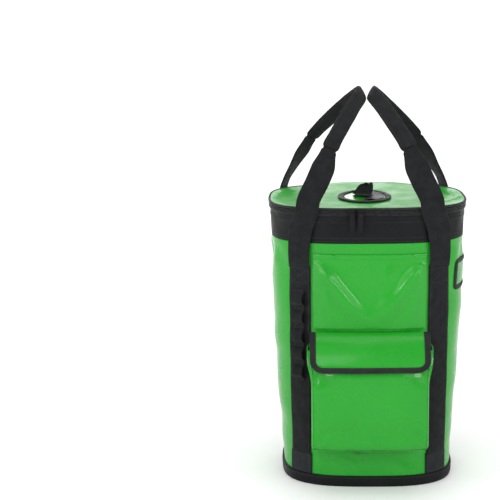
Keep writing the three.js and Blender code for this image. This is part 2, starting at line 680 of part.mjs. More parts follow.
// A shoulder pad's outline: a strip of varying width along its middle line, drawn in x and z.
const PAD_LINE = [
  [35, PAD.topZ, 32],
  [35, 385, 32],
  [35, 345, 31],
  [45, 298, 31],
  [60, 252, 29],
  [74, 216, 25],
  [84, 192, 19],
];

function padSolid(inset, side, near, far) {
  const line = new THREE.SplineCurve(PAD_LINE.map(([x, z]) => new THREE.Vector2(x, z)));
  const total = PAD_LINE.length - 1;
  const length = line.getLength();
  const rows = steps(inset / length, 1 - inset / length, 16).map((t) => {
    const p = line.getPoint(t);
    const d = line.getTangent(t);
    const i = Math.min(Math.floor(t * total), total - 1);
    const half = PAD_LINE[i][2] + (PAD_LINE[i + 1][2] - PAD_LINE[i][2]) * (t * total - i) - inset;
    return [-half, half].map((reach) => new THREE.Vector2(side * (p.x + d.y * reach), p.y - d.x * reach));
  });
  const grid = (y) => rows.map((row) => row.map((v) => new THREE.Vector3(v.x, y, v.y)));
  return sheetSolid(grid(far), grid(near));
}

function addShoulderStraps() {
  const middle = PAD.nearY + PAD.thickness / 2;
  for (const [name, side] of SIDES) {
    const far = PAD.nearY + PAD.thickness;
    add(`shoulder_pad_${name}`, padSolid(PAD.binding + GAP, side, PAD.nearY, far), FINISH.tarpaulin);
    const half = PAD.bindingThickness / 2;
    const whole = padSolid(0, side, middle - half, middle + half);
    const inside = padSolid(PAD.binding, side, PAD.nearY - 5, far + 5);
    add(`shoulder_binding_${name}`, cut(whole, inside), FINISH.binding);

    const tilt = THREE.MathUtils.degToRad(LOCK.tilt);
    const down = new THREE.Vector3(Math.sin(tilt), 0, -Math.cos(tilt));
    const tongueY = PAD.nearY + PAD.thickness + GAP + NARROW.thickness / 2;
    const lock = new THREE.Vector3(LOCK.x, tongueY, LOCK.z);
    const across = [Math.cos(tilt), 0, Math.sin(tilt)];
    const tongue = [52, 36, LOCK.height / 2 + 1].map((back) => {
      const p = lock.clone().addScaledVector(down, -back);
      return stop(p.x, p.y, p.z, across, NARROW.width);
    });
    add(`strap_tongue_${name}`, band(mirrored(tongue, -side), NARROW.thickness, 2), FINISH.webbing);
    add(`ladder_lock_${name}`, ladderLock(side), FINISH.plastic);

    const wing = new THREE.Shape();
    wing.moveTo(side * WING.outerX, WING.top);
    wing.lineTo(side * WING.tipX, WING.tipZ);
    wing.lineTo(side * WING.outerX, WING.bottom);
    add(`anchor_wing_${name}`, extrudeAlongY(wing, WING.nearY, WING.farY), FINISH.tarpaulin);
    const lower = [
      stop(69, 138.7, 88, [0.86, 0, -0.5], NARROW.width),
      stop(79, 141, 113, [0.9, 0, -0.42], NARROW.width),
      stop(89, 149, 138.2, across, NARROW.width),
    ];
    add(`lower_webbing_${name}`, band(mirrored(lower, -side), NARROW.thickness, 6), FINISH.webbing);
  }
}

function ladderLock(side) {
  const [halfX, halfZ] = [LOCK.width / 2, LOCK.height / 2];
  const shape = new THREE.Shape();
  shape.moveTo(-halfX + LOCK_FRAME.side, -halfZ);
  shape.lineTo(halfX - LOCK_FRAME.side, -halfZ);
  shape.lineTo(halfX, -halfZ + LOCK_FRAME.chamfer);
  shape.lineTo(halfX, halfZ);
  shape.lineTo(-halfX, halfZ);
  shape.lineTo(-halfX, -halfZ + LOCK_FRAME.chamfer);
  const slotHalf = halfX - LOCK_FRAME.side;
  const bars = [-halfZ, ...LOCK_FRAME.middleBars, halfZ - LOCK_FRAME.bar];
  const slots = bars.slice(1).map((high, i) => [bars[i] + LOCK_FRAME.bar, high]);
  for (const [low, high] of slots) {
    const hole = new THREE.Path();
    hole.moveTo(-slotHalf, low);
    hole.lineTo(slotHalf, low);
    hole.lineTo(slotHalf, high);
    hole.lineTo(-slotHalf, high);
    shape.holes.push(hole);
  }
  const tilt = THREE.MathUtils.degToRad(LOCK.tilt);
  const half = LOCK.thickness / 2;
  return extrudeAlongY(shape, -half, half)
    .rotateY(-side * tilt)
    .translate(side * LOCK.x, LOCK.y, LOCK.z);
}

addBody();
addZip();
addLid();
addSewnStraps();
addHandles();
addFrontPanels();
addPocket();
addFlap();
addGearLoops();
addCardWindow();
addBack();
addShoulderStraps();

export default bag;
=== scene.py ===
"""Rope storage bag: a tapered green bucket bag with a zipped lid, webbing handles and shoulder straps.

Lengths in this script are millimetres until they reach a mesh, which is in metres.
Front faces -Y, +Z is up, and the origin is the middle of the base, on the ground.
"""
import bisect
import math

import bmesh
import bpy
from mathutils import Matrix, Vector, noise


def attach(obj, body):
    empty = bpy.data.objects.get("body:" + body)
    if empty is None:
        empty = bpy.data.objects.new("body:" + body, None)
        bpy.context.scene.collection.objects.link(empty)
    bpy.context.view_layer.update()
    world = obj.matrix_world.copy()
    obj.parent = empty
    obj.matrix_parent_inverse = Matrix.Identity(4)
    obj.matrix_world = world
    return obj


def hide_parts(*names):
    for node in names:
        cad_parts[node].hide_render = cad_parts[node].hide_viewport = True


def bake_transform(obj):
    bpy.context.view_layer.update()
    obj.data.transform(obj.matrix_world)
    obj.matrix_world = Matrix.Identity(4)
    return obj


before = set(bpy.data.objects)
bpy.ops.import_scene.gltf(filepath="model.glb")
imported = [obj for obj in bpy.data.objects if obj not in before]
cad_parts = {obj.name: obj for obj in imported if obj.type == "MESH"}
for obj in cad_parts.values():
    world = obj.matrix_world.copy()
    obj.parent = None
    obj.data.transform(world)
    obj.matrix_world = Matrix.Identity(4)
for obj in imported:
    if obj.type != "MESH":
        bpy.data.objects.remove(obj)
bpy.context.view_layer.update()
MM = 0.001
SIDES = (("left", -1), ("right", 1))

# ------------------------------------------------------------------ sizes shared with the CAD model
BASE_HALF_X, TOP_HALF_X, TOP_HALF_Y, TOP_Z = 154.0, 170.0, 140.0, 490.0
SECTION_POWER = 3
BODY_BOTTOM, BODY_TOP, COLLAR_TOP = 3.4, 437.0, 484.6
WALL, LAYER = 2.2, 0.7
ZIP_SPLIT = 489.3
LID_BOTTOM, LID_TOP = 495.0, 498.0
WEBBING, WEBBING_THICK = 40.0, 2.5
STRAP_BOTTOM, STRAP_TOP, STRAP_FRONT_X, STRAP_BACK_X = 55.4, 394.0, 118.0, 128.0
OVERLAY_HALF, OVERLAY_BOTTOM, OVERLAY_TOP = 96.0, 288.0, 418.0
POCKET_HALF, POCKET_BOTTOM, POCKET_TOP, POCKET_FRONT, POCKET_FRONT_TOP = 100.0, 75.0, 276.0, -172.0, 248.0
FLAP_HALF, FLAP_BOTTOM, FLAP_FRONT, FLAP_TURN_Z = 102.0, 222.0, -178.0, 234.0
FLAP_HINGE, FLAP_BEND = (-139.5, 284.0), (-162.0, 273.0)
BACK_HALF = 84.0
PORT_X, PORT_Y, PORT_HALF_X, PORT_HALF_Y = -4.0, -22.0, 36.0, 52.0
PAD_TOP, PAD_NEAR_Y, PAD_THICK, PAD_BINDING = 420.0, 143.0, 12.0, 10.0
LOCK = Vector((97.0, 156.4, 160.0))
LOCK_TILT = math.radians(22)
NARROW = 25.0

# ------------------------------------------------------------------ camera
CAMERA_PLACE = Vector((-0.105, -2.4, 0.87))
CAMERA_DOWN = math.radians(11.05)
CAMERA_TURN = math.radians(2.46)
CAMERA_ROLL = math.radians(-0.85)
camera_data = bpy.data.cameras.new("camera")
camera_data.lens = 98.1
camera_data.sensor_width = 36.0
camera = bpy.data.objects.new("camera", camera_data)
camera.location = CAMERA_PLACE
camera.rotation_euler = (
    Matrix.Rotation(CAMERA_TURN, 3, "Z") @ Matrix.Rotation(math.pi / 2 - CAMERA_DOWN, 3, "X")
    @ Matrix.Rotation(CAMERA_ROLL, 3, "Z")
).to_euler()
bpy.context.scene.collection.objects.link(camera)
bpy.context.scene.camera = camera


# ------------------------------------------------------------------ small helpers
def smooth(value, low, high):
    t = min(max((value - low) / (high - low), 0.0), 1.0)
    return t * t * (3 - 2 * t)


def bump(value, centre, width):
    return math.exp(-(((value - centre) / width) ** 2))


def spread(low, high, count):
    return [low + (high - low) * i / (count - 1) for i in range(count)]
def turn(i, count):
    """The angle of step i of count, once round."""
    return 2 * math.pi * i / count


def lengths_along(points, closed=False):
    """The distance along the points to each of them, and back to the first where the line is closed."""
    lengths = [0.0]
    for a, b in zip(points, points[1:] + (points[:1] if closed else [])):
        lengths.append(lengths[-1] + (b - a).length)
    return lengths


def lowered(grid, drop):
    return [[p - Vector((0, 0, drop)) for p in row] for row in grid]


def rough(p, size, seed=0.0):
    """Smooth random unevenness of a given size, from -1 to 1."""
    return noise.noise(Vector((p[0] / size + seed, p[1] / size - 2 * seed, p[2] / size + 3 * seed)))


# ------------------------------------------------------------------ the wall of the bag
def section_points(count=1440):
    points, length = [], 0.0
    for i in range(count + 1):
        angle = math.pi * i / count
        x = TOP_HALF_X * max(math.sin(angle), 0.0) ** (2 / SECTION_POWER)
        y = -TOP_HALF_Y * math.copysign(abs(math.cos(angle)) ** (2 / SECTION_POWER), math.cos(angle))
        if points:
            length += math.hypot(x - points[-1][0], y - points[-1][1])
        points.append((x, y, length))
    return points


SECTION = section_points()
SECTION_LENGTHS = [p[2] for p in SECTION]
SECTION_YS = [p[1] for p in SECTION]
HALF_AROUND = SECTION_LENGTHS[-1]


def wall_scale(z):
    """The section's size at this height: a straight taper, tucked in at the foot and bellied above."""
    taper = BASE_HALF_X + (TOP_HALF_X - BASE_HALF_X) * z / TOP_Z
    belly = 6.8 * smooth(z, 60, 230) - 2.2 * smooth(z, 330, 430) - 4.6
    return (taper + belly) / TOP_HALF_X


def wall_frame(z, distance):
    """The wall's point and outward direction at a distance around the bag from the front middle."""
    scale = wall_scale(z)
    turn = (distance / scale) % (2 * HALF_AROUND)
    mirrored = turn > HALF_AROUND
    if mirrored:
        turn = 2 * HALF_AROUND - turn
    high = min(max(bisect.bisect_left(SECTION_LENGTHS, turn), 1), len(SECTION) - 1)
    (x0, y0, l0), (x1, y1, l1) = SECTION[high - 1], SECTION[high]
    t = (turn - l0) / (l1 - l0)
    x, y = x0 + (x1 - x0) * t, y0 + (y1 - y0) * t
    nx = (x / TOP_HALF_X) ** 2 / TOP_HALF_X
    ny = math.copysign((abs(y) / TOP_HALF_Y) ** 2 / TOP_HALF_Y, y)
    normal = Vector((nx, ny, 0)).normalized()
    point = Vector((x * scale, y * scale, z))
    if mirrored:
        point.x, normal.x = -point.x, -normal.x
    return point, normal


def relief(point):
    """Soft unevenness of the fabric wall, outwards."""
    z = point.z
    calm = smooth(z, 20, 70) * (1 - smooth(z, 418, 436))
    wave = rough(point, 105, 1.3) + 0.5 * rough(point, 46, 4.1)
    side = smooth(abs(point.x), 120, 150)
    buckle = 3.0 * rough((point.x * 0.5, point.y * 0.6, z * 1.7), 78, 8.2)
    gather = 5.5 * rough((point.x, point.y, z * 0.55 + point.y * 0.4), 27, 3.6) * bump(z, 414, 26)
    front = smooth(-point.y, 90, 110) * (1 - smooth(abs(point.x), 84, 98)) * smooth(z, 19, 34)
    crumple = 7.5 * rough((point.x * 0.8, 0, z * 1.6 + point.x * 0.3), 30, 7.1) * bump(z, 50, 20)
    rear = smooth(point.y, 90, 110) * calm
    pucker = 4.5 * rough((point.x * 0.8, 0, z * 0.9 + point.x * 0.5), 25, 5.7) * bump(abs(point.x), 97, 13)
    hollow = -5.0 * bump(z - 0.25 * point.x, 128, 24) * bump(point.x, -12, 48)
    return calm * (wave + side * (buckle + gather)) + front * crumple + rear * (pucker + hollow)


def wall_point(z, distance, offset):
    point, normal = wall_frame(z, distance)
    return point + normal * (offset + relief(point))


def distance_at(z, x, back):
    """The distance around the bag of the wall's point at this x, on the front or the back."""
    scale = wall_scale(z)
    y = TOP_HALF_Y * (1 - (abs(x) / scale / TOP_HALF_X) ** SECTION_POWER) ** (1 / SECTION_POWER)
    target = y if back else -y
    high = min(max(bisect.bisect_left(SECTION_YS, target), 1), len(SECTION) - 1)
    (_, y0, l0), (_, y1, l1) = SECTION[high - 1], SECTION[high]
    length = l0 + (l1 - l0) * (target - y0) / (y1 - y0)
    return math.copysign(length * scale, x if x else 1)


def side_distance(z, y):
    scale = wall_scale(z)
    high = min(max(bisect.bisect_left(SECTION_YS, y / scale), 1), len(SECTION) - 1)
    return SECTION_LENGTHS[high] * scale


# ------------------------------------------------------------------ materials
class Shader:
    """A procedural material. Every texture is measured in metres."""

    def __init__(self, name, **values):
        self.material = bpy.data.materials.new(name)
        self.material.use_nodes = True
        self.tree = self.material.node_tree
        self.bsdf = self.tree.nodes["Principled BSDF"]
        for key, value in values.items():
            self.bsdf.inputs[key.replace("_", " ").title().replace("Ior", "IOR")].default_value = value
        self.bumps = None
        self.place = self.node("ShaderNodeTexCoord").outputs["Object"]
        uv = self.node("ShaderNodeUVMap").outputs["UV"]
        parts = self.node("ShaderNodeSeparateXYZ", Vector=uv)
        self.u, self.v = parts.outputs["X"], parts.outputs["Y"]

    def node(self, kind, settings=None, **inputs):
        made = self.tree.nodes.new(kind)
        for key, value in (settings or {}).items():
            setattr(made, key, value)
        for key, value in inputs.items():
            self.put(made.inputs[key.replace("_", " ")], value)
        return made

    def put(self, socket, value):
        if isinstance(value, bpy.types.NodeSocket):
            self.tree.links.new(value, socket)
        else:
            socket.default_value = value

    def math(self, operation, a, b=0.0, c=0.0):
        made = self.node("ShaderNodeMath", {"operation": operation})
        for socket, value in zip(made.inputs, (a, b, c)):
            self.put(socket, value)
        return made.outputs[0]

    def noise(self, scale, detail=3.0, roughness=0.55):
        made = self.node("ShaderNodeTexNoise", Vector=self.place, Scale=scale, Detail=detail,
                         Roughness=roughness)
        return made.outputs["Fac"]

    def remap(self, value, low, high, to_low=0.0, to_high=1.0):
        made = self.node("ShaderNodeMapRange", {"interpolation_type": "SMOOTHSTEP"}, Value=value)
        for key, number in (("From Min", low), ("From Max", high), ("To Min", to_low), ("To Max", to_high)):
            made.inputs[key].default_value = number
        return made.outputs["Result"]

    def ridges(self, along, pitch):
        return self.math("ABSOLUTE", self.math("SINE", self.math("MULTIPLY", along, math.pi / pitch)))

    def weave(self, pitch):
        """Over-and-under threads."""
        across = self.math("SINE", self.math("MULTIPLY", self.u, math.pi / pitch))
        along = self.math("SINE", self.math("MULTIPLY", self.v, math.pi / pitch))
        return self.math("MULTIPLY", across, along)

    def height(self, value, distance, strength):
        """Adds bumps of a height in metres to those before."""
        made = self.node("ShaderNodeBump", Height=value, Strength=strength, Distance=distance)
        if self.bumps is not None:
            self.put(made.inputs["Normal"], self.bumps)
        self.bumps = made.outputs["Normal"]
        self.put(self.bsdf.inputs["Normal"], self.bumps)

    def tint(self, factor, low, high):
        """Varies the colour between two colours, by a value from 0 to 1."""
        made = self.node("ShaderNodeMix", {"data_type": "RGBA"})
        self.put(made.inputs["Factor"], factor)
        for socket in made.inputs:
            if socket.type == "RGBA":
                socket.default_value = (*(low if socket.name == "A" else high), 1)
        self.put(self.bsdf.inputs["Base Color"], next(s for s in made.outputs if s.type == "RGBA"))

    def gloss(self, factor, low, high):
        self.put(self.bsdf.inputs["Roughness"], self.remap(factor, 0.3, 0.7, low, high))


def shade(color, factor):
    return tuple(c * factor for c in color)


GREEN = (0.008, 0.272, 0.012)
BLACK = (0.0075, 0.0082, 0.0090)


def noise_material(name, colour, gloss, bump, weave=None, **values):
    """Colour, gloss and bumps each follow a noise of (scale, detail), under a weave where there is one.

    colour is (noise, dark, light), gloss is (noise, least and most roughness), bump is
    (noise, height in metres, strength) and weave is (pitch and height in metres, strength).
    """
    s = Shader(name, **values)
    s.tint(s.noise(*colour[0]), *colour[1:])
    s.gloss(s.noise(*gloss[0]), *gloss[1:])
    s.height(s.noise(*bump[0]), *bump[1:])
    if weave:
        s.height(s.weave(weave[0]), *weave[1:])
    return s.material


def tarpaulin(name, strength, gloss=1.0):
    """Glossy coated scrim: a faint grid of threads under a smooth skin, with handling marks."""
    s = Shader(name, specular_ior_level=0.27 * gloss, coat_weight=0.16 * gloss, coat_roughness=0.09)
    s.tint(s.noise(9, 4), shade(GREEN, 0.88), (0.013, 0.30, 0.017))
    s.gloss(s.noise(24, 4), 0.22 / gloss, 0.34 / gloss)
    s.height(s.noise(13, 1), 0.0040 * strength, 0.8)
    s.height(s.noise(55, 2), 0.0004 * strength, 0.5)
    s.height(s.weave(0.0011), 0.00004, 0.5)
    return s.material


def webbing_material(name, rib, chevron):
    """Woven webbing: slanted ribs that turn back at each column of threads."""
    s = Shader(name, specular_ior_level=0.15, sheen_weight=0.04, sheen_roughness=0.5)
    zigzag = s.math("PINGPONG", s.u, chevron)
    ribs = s.ridges(s.math("ADD", s.v, s.math("MULTIPLY", zigzag, 0.6)), rib)
    columns = s.ridges(s.u, chevron)
    woven = s.math("MULTIPLY", ribs, s.remap(columns, 0.0, 0.5, 0.35, 1.0))
    worn = s.remap(s.noise(55, 4), 0.3, 0.7, 0.4, 1.0)
    # The colour follows the weave: painted shade in the grooves and a painted highlight on the rib tops; the
    # worn noise is real wear.
    s.tint(s.math("MULTIPLY", worn, woven), shade(BLACK, 0.55), shade(BLACK, 1.7))
    s.gloss(s.noise(90, 2), 0.70, 0.88)
    s.height(woven, 0.00035, 0.9)
    s.height(s.noise(900, 2), 0.00008, 0.5)
    return s.material


def binding_material():
    """Narrow grosgrain tape: fine straight ribs across its width."""
    s = Shader("binding", specular_ior_level=0.25, sheen_weight=0.04, sheen_roughness=0.5)
    ribs = s.ridges(s.v, 0.0011)
    # The colour follows the ribs: painted shade between them and a painted highlight on their tops, over a
    # random tone.
    s.tint(s.math("MULTIPLY", s.noise(70, 3), ribs), shade(BLACK, 0.6), shade(BLACK, 1.9))
    s.gloss(s.noise(60, 2), 0.58, 0.78)
    s.height(ribs, 0.00022, 0.9)
    return s.material


def wear_material():
    """Coarse nylon with pale scuffs."""
    color = (0.0125, 0.0145, 0.0175)
    s = Shader("wear_patch", specular_ior_level=0.16)
    scuffs = s.remap(s.noise(160, 5, 0.7), 0.56, 0.72)
    s.tint(scuffs, shade(color, 0.85), shade(color, 2.1))
    s.gloss(s.noise(45, 4), 0.48, 0.7)
    s.height(s.weave(0.0016), 0.00025, 0.9)
    s.height(s.noise(50, 3), 0.0008, 0.5)
    return s.material


def zip_material():
    """A coil: its turns are ribs across the length."""
    s = Shader("zip_coil", specular_ior_level=0.22, coat_weight=0.1, coat_roughness=0.2)
    s.tint(s.noise(80, 3), (0.007, 0.007, 0.008), (0.017, 0.018, 0.019))
    s.gloss(s.noise(120, 2), 0.18, 0.34)
    s.height(s.ridges(s.v, 0.0017), 0.0003, 0.7)
    return s.material


def metal_material():
    """Black lacquer, rubbed pale in small spots."""
    s = Shader("black_metal", specular_ior_level=0.14)
    s.tint(s.remap(s.noise(220, 4), 0.6, 0.8), (0.006, 0.006, 0.007), (0.03, 0.03, 0.031))
    s.gloss(s.noise(140, 4), 0.32, 0.5)
    s.height(s.noise(500, 2), 0.00002, 0.5)
    return s.material


TARPAULIN = tarpaulin("green_tarpaulin", 1.0)
TAUT = tarpaulin("green_tarpaulin_taut", 0.5)
LID = tarpaulin("green_tarpaulin_lid", 1.2, 0.55)
WEB = webbing_material("webbing", 0.0016, 0.0034)
NARROW_WEB = webbing_material("narrow_webbing", 0.0013, 0.0025)
BINDING = binding_material()
WEAR = wear_material()
ZIP = zip_material()
METAL = metal_material()
COATED = noise_material(
    "coated_black", colour=((30, 4), shade(BLACK, 0.6), shade(BLACK, 1.2)), gloss=((18, 4), 0.34, 0.55),
    bump=((40, 3), 0.0010, 0.7), weave=(0.0009, 0.00012, 0.9), specular_ior_level=0.10)
PLASTIC = noise_material(
    "black_plastic", colour=((120, 4), (0.010, 0.010, 0.011), (0.022, 0.022, 0.024)),
    gloss=((200, 3), 0.32, 0.5), bump=((1400, 2), 0.00006, 0.7), specular_ior_level=0.4)
BOARD = noise_material(
    "stiffener_board", colour=((40, 4), (0.022, 0.023, 0.025), (0.045, 0.047, 0.05)),
    gloss=((60, 3), 0.5, 0.68), bump=((500, 2), 0.0002, 0.6))
WINDOW = noise_material(
    "clear_window", colour=((20, 3), (0.07, 0.40, 0.08), (0.16, 0.50, 0.17)), gloss=((35, 3), 0.06, 0.18),
    bump=((22, 2), 0.0016, 0.6), specular_ior_level=0.35, coat_weight=0.15, coat_roughness=0.08, alpha=0.35)
THREAD = noise_material(
    "thread", colour=((300, 2), (0.007, 0.007, 0.008), (0.022, 0.022, 0.024)),
    gloss=((300, 2), 0.45, 0.65), bump=((2500, 2), 0.00005, 0.5))
SHARP_ANGLE = math.radians(48)


# ------------------------------------------------------------------ meshes
class Mesh:
    """Collects closed parts, and makes one object of them."""

    def __init__(self):
        self.points, self.faces, self.uvs = [], [], []

    def quads(self, base, rows, columns, us, vs, wrap_rows=False, wrap_columns=False, flip=False):
        for i in range(rows if wrap_rows else rows - 1):
            for j in range(columns if wrap_columns else columns - 1):
                corners = [(i, j), (i, j + 1), (i + 1, j + 1), (i + 1, j)]
                if flip:
                    corners.reverse()
                self.faces.append([base + (r % rows) * columns + c % columns for r, c in corners])
                self.uvs.append([(us[c], vs[r]) for r, c in corners])

    def face(self, indices, uvs):
        self.faces.append(indices)
        self.uvs.append(uvs)

    def sheet(self, outer, inner, us, vs, wrap=False):
        """A closed sheet between two grids. With wrap its columns go all the way round."""
        rows, columns = len(outer), len(outer[0])
        base = len(self.points)
        for grid in (outer, inner):
            self.points += [p for row in grid for p in row]
        size = rows * columns
        self.quads(base, rows, columns, us, vs, wrap_columns=wrap)
        self.quads(base + size, rows, columns, us, vs, wrap_columns=wrap, flip=True)
        for j in range(columns if wrap else columns - 1):
            k = (j + 1) % columns
            low, high = base, base + (rows - 1) * columns
            self.face([low + k, low + j, low + size + j, low + size + k], [(us[j], vs[0])] * 4)
            self.face([high + j, high + k, high + size + k, high + size + j], [(us[j], vs[-1])] * 4)
        if not wrap:
            for i in range(rows - 1):
                a, b = base + i * columns, base + (i + 1) * columns
                self.face([a, b, b + size, a + size], [(us[0], vs[i])] * 4)
                c, d = a + columns - 1, b + columns - 1
                self.face([d, c, c + size, d + size], [(us[-1], vs[i])] * 4)

    def sweep(self, rings, us, vs, closed=False):
        """A closed body through rings of points. Its ends are capped unless it joins up."""
        rows, columns = len(rings), len(rings[0])
        base = len(self.points)
        self.points += [p for ring in rings for p in ring]
        self.quads(base, rows, columns, us, vs, wrap_rows=closed, wrap_columns=True)
        if not closed:
            last = base + (rows - 1) * columns
            self.face([base + j for j in reversed(range(columns))], [(0, 0)] * columns)
            self.face([last + j for j in range(columns)], [(0, 0)] * columns)

    def build(self, name, material, body=None, replaces=()):
        data = bpy.data.meshes.new(name)
        data.from_pydata([tuple(Vector(p) * MM) for p in self.points], [], self.faces)
        layer = data.uv_layers.new(name="UVMap")
        flat = [value * MM for face in self.uvs for uv in face for value in uv]
        layer.data.foreach_set("uv", flat)
        work = bmesh.new()
        work.from_mesh(data)
        bmesh.ops.recalc_face_normals(work, faces=work.faces)
        work.to_mesh(data)
        work.free()
        for polygon in data.polygons:
            polygon.use_smooth = True
        data.set_sharp_from_angle(angle=SHARP_ANGLE)
        data.materials.append(material)
        made = bpy.data.objects.new(name, data)
        bpy.context.scene.collection.objects.link(made)
        if body:
            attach(made, body)
        if replaces:
            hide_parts(*replaces)
        return made


def normals_of(grid, wrap=False):
    rows, columns = len(grid), len(grid[0])
    result = []
    for i in range(rows):
        row = []
        for j in range(columns):
            up = grid[min(i + 1, rows - 1)][j] - grid[max(i - 1, 0)][j]
            if wrap:
                side = grid[i][(j + 1) % columns] - grid[i][j - 1]
            else:
                side = grid[i][min(j + 1, columns - 1)] - grid[i][max(j - 1, 0)]
            row.append(side.cross(up).normalized())
        result.append(row)
    return result


def thick(grid, thickness, wrap=False):
    """The grid behind this one, at the fabric's thickness."""
    normals = normals_of(grid, wrap)
    return [[p - n * thickness for p, n in zip(row, ns)] for row, ns in zip(grid, normals)]


def wall_sheet(mesh, zs, columns, layer, thickness, rounding=0.5, lift=None):
    """A layer sewn on the wall. columns(z) gives the distances around; lift(a, b) adds to its height."""
    across = [columns(z) for z in zs]
    count = len(across[0])
    outer, inner = [], []
    for i, z in enumerate(zs):
        b = i / (len(zs) - 1)
        top, under = [], []
        for j, distance in enumerate(across[i]):
            a = j / (count - 1)
            edge = i in (0, len(zs) - 1) or j in (0, count - 1)
            extra = lift(a, b) if lift else 0.0
            top.append(wall_point(z, distance, layer + thickness + extra - (rounding if edge else 0)))
            under.append(wall_point(z, distance, layer + extra))
        outer.append(top)
        inner.append(under)
    mesh.sheet(outer, inner, across[len(across) // 2], zs)


def sewn(name, material, replaces, zs, columns, layer, thickness, rounding=0.5, lift=None):
    """A layer sewn on the wall, as a piece of its own."""
    mesh = Mesh()
    wall_sheet(mesh, zs, columns, layer, thickness, rounding, lift)
    return mesh.build(name, material, "bag", replaces)


def with_edges(low, high, count, edge=0.7):
    """Even steps, with a narrow one at each end for a rounded edge."""
    return [low] + spread(low + edge, high - edge, count) + [high]


# ------------------------------------------------------------------ bands and tubes
def catmull(points, t):
    """A smooth curve through points, even where they're unevenly spaced."""
    last = len(points) - 1
    at = min(max(t, 0.0), 1.0) * last
    i = min(int(at), last - 1)
    w = at - i
    p1, p2 = points[i], points[i + 1]
    p0 = points[i - 1] if i > 0 else p1 * 2 - p2
    p3 = points[i + 2] if i + 2 <= last else p2 * 2 - p1
    d0, d1, d2 = (max((b - a).length, 1e-4) ** 0.5 for a, b in ((p0, p1), (p1, p2), (p2, p3)))
    t1 = ((p1 - p0) / d0 - (p2 - p0) / (d0 + d1) + (p2 - p1) / d1) * d1
    t2 = ((p2 - p1) / d1 - (p3 - p1) / (d1 + d2) + (p3 - p2) / d2) * d1
    a = p1 * 2 - p2 * 2 + t1 + t2
    b = p2 * 3 - p1 * 3 - t1 * 2 - t2
    return p1 + t1 * w + b * w * w + a * w * w * w


def band_frames(stops, ts):
    """Place, direction across, outward direction and width along a band. A stop is (point, across, width)."""
    points = [Vector(s[0]) for s in stops]
    last = len(stops) - 1
    frames = []
    for t in ts:
        p = catmull(points, t)
        tangent = (catmull(points, min(t + 1e-3, 1)) - catmull(points, max(t - 1e-3, 0))).normalized()
        at = t * last
        i = min(int(at), last - 1)
        w = Vector(stops[i][1]).normalized().lerp(Vector(stops[i + 1][1]).normalized(), at - i)
        w = (w - tangent * w.dot(tangent)).normalized()
        frames.append((p, w, w.cross(tangent), stops[i][2] + (stops[i + 1][2] - stops[i][2]) * (at - i)))
    return frames


def flat_profile(half, thickness):
    """The section of a webbing: flat, with rounded edges."""
    t = thickness / 2
    xs = [half - 1.1, half * 0.66, half * 0.33, 0, -half * 0.33, -half * 0.66, -half + 1.1]
    upper = [(half - 0.35, t * 0.7)] + [(x, t) for x in xs] + [(-half + 0.35, t * 0.7)]
    return [(half, 0)] + upper + [(-half, 0)] + [(-x, -y) for x, y in upper]


def band(mesh, frames, thickness, profile=flat_profile, sway=0.0):
    """A band along frames. sway bows its middle out of flat."""
    rings = []
    for p, w, n, width in frames:
        half = width / 2
        rings.append([p + w * x + n * (y + sway * (1 - (x / half) ** 2))
                      for x, y in profile(half, thickness)])
    us = [x for x, _ in profile(frames[0][3] / 2, thickness)]
    mesh.sweep(rings, us + us[:1], lengths_along([f[0] for f in frames]))


def web_piece(name, material, body, replaces, stops, steps, thickness, sway=0.0):
    """A webbing through its stops, as a piece of its own."""
    mesh = Mesh()
    band(mesh, band_frames(stops, spread(0, 1, steps)), thickness, sway=sway)
    return mesh.build(name, material, body, replaces)


def tube(mesh, points, radius, count=8, flatten=1.0, up=Vector((0, 0, 1)), beads=None):
    """A round cord along points; flatten squeezes it, and beads(k) varies its radius at point k."""
    rings = []
    for k, p in enumerate(points):
        tangent = (points[min(k + 1, len(points) - 1)] - points[max(k - 1, 0)]).normalized()
        side = tangent.cross(up)
        side = side.normalized() if side.length > 1e-3 else tangent.orthogonal().normalized()
        rise = side.cross(tangent)
        r = radius * (beads(k) if beads else 1)
        angles = [turn(i, count) for i in range(count)]
        rings.append([p + side * (r * flatten * math.cos(a)) + rise * (r * math.sin(a)) for a in angles])
    mesh.sweep(rings, [radius * turn(i, count) for i in range(count + 1)], lengths_along(points))


STITCH_LENGTH, STITCH_PITCH, STITCH_RADIUS, STITCH_SIDES = 3.2, 4.4, 0.42, 6
STITCH_SHAPE = ((-0.5, 0.25), (-0.28, 0.9), (0.28, 0.9), (0.5, 0.25))  # how far along, and how thick


def stitch_row(mesh, path, normals):
    """Separate stitches along a path that lies on the fabric."""
    lengths = lengths_along(path)
    count = max(int((lengths[-1] - STITCH_LENGTH) / STITCH_PITCH) + 1, 1)
    start = (lengths[-1] - (count - 1) * STITCH_PITCH) / 2

    def at(distance):
        i = min(max(bisect.bisect_left(lengths, distance), 1), len(path) - 1)
        t = (distance - lengths[i - 1]) / max(lengths[i] - lengths[i - 1], 1e-6)
        return path[i - 1].lerp(path[i], t), normals[i - 1].lerp(normals[i], t).normalized()

    for k in range(count):
        centre, normal = at(start + k * STITCH_PITCH)
        ahead, _ = at(start + k * STITCH_PITCH + 0.5)
        along = (ahead - centre).normalized()
        side = along.cross(normal).normalized()
        rings = []
        for shift, size in STITCH_SHAPE:
            p = centre + along * (shift * STITCH_LENGTH)
            r = STITCH_RADIUS * size
            angles = [turn(i, STITCH_SIDES) for i in range(STITCH_SIDES)]
            rings.append([p + side * (r * math.cos(a)) + normal * (r * math.sin(a)) for a in angles])
        mesh.sweep(rings, spread(0, 2, STITCH_SIDES + 1), spread(0, STITCH_LENGTH, len(rings)))


bag_stitches = Mesh()


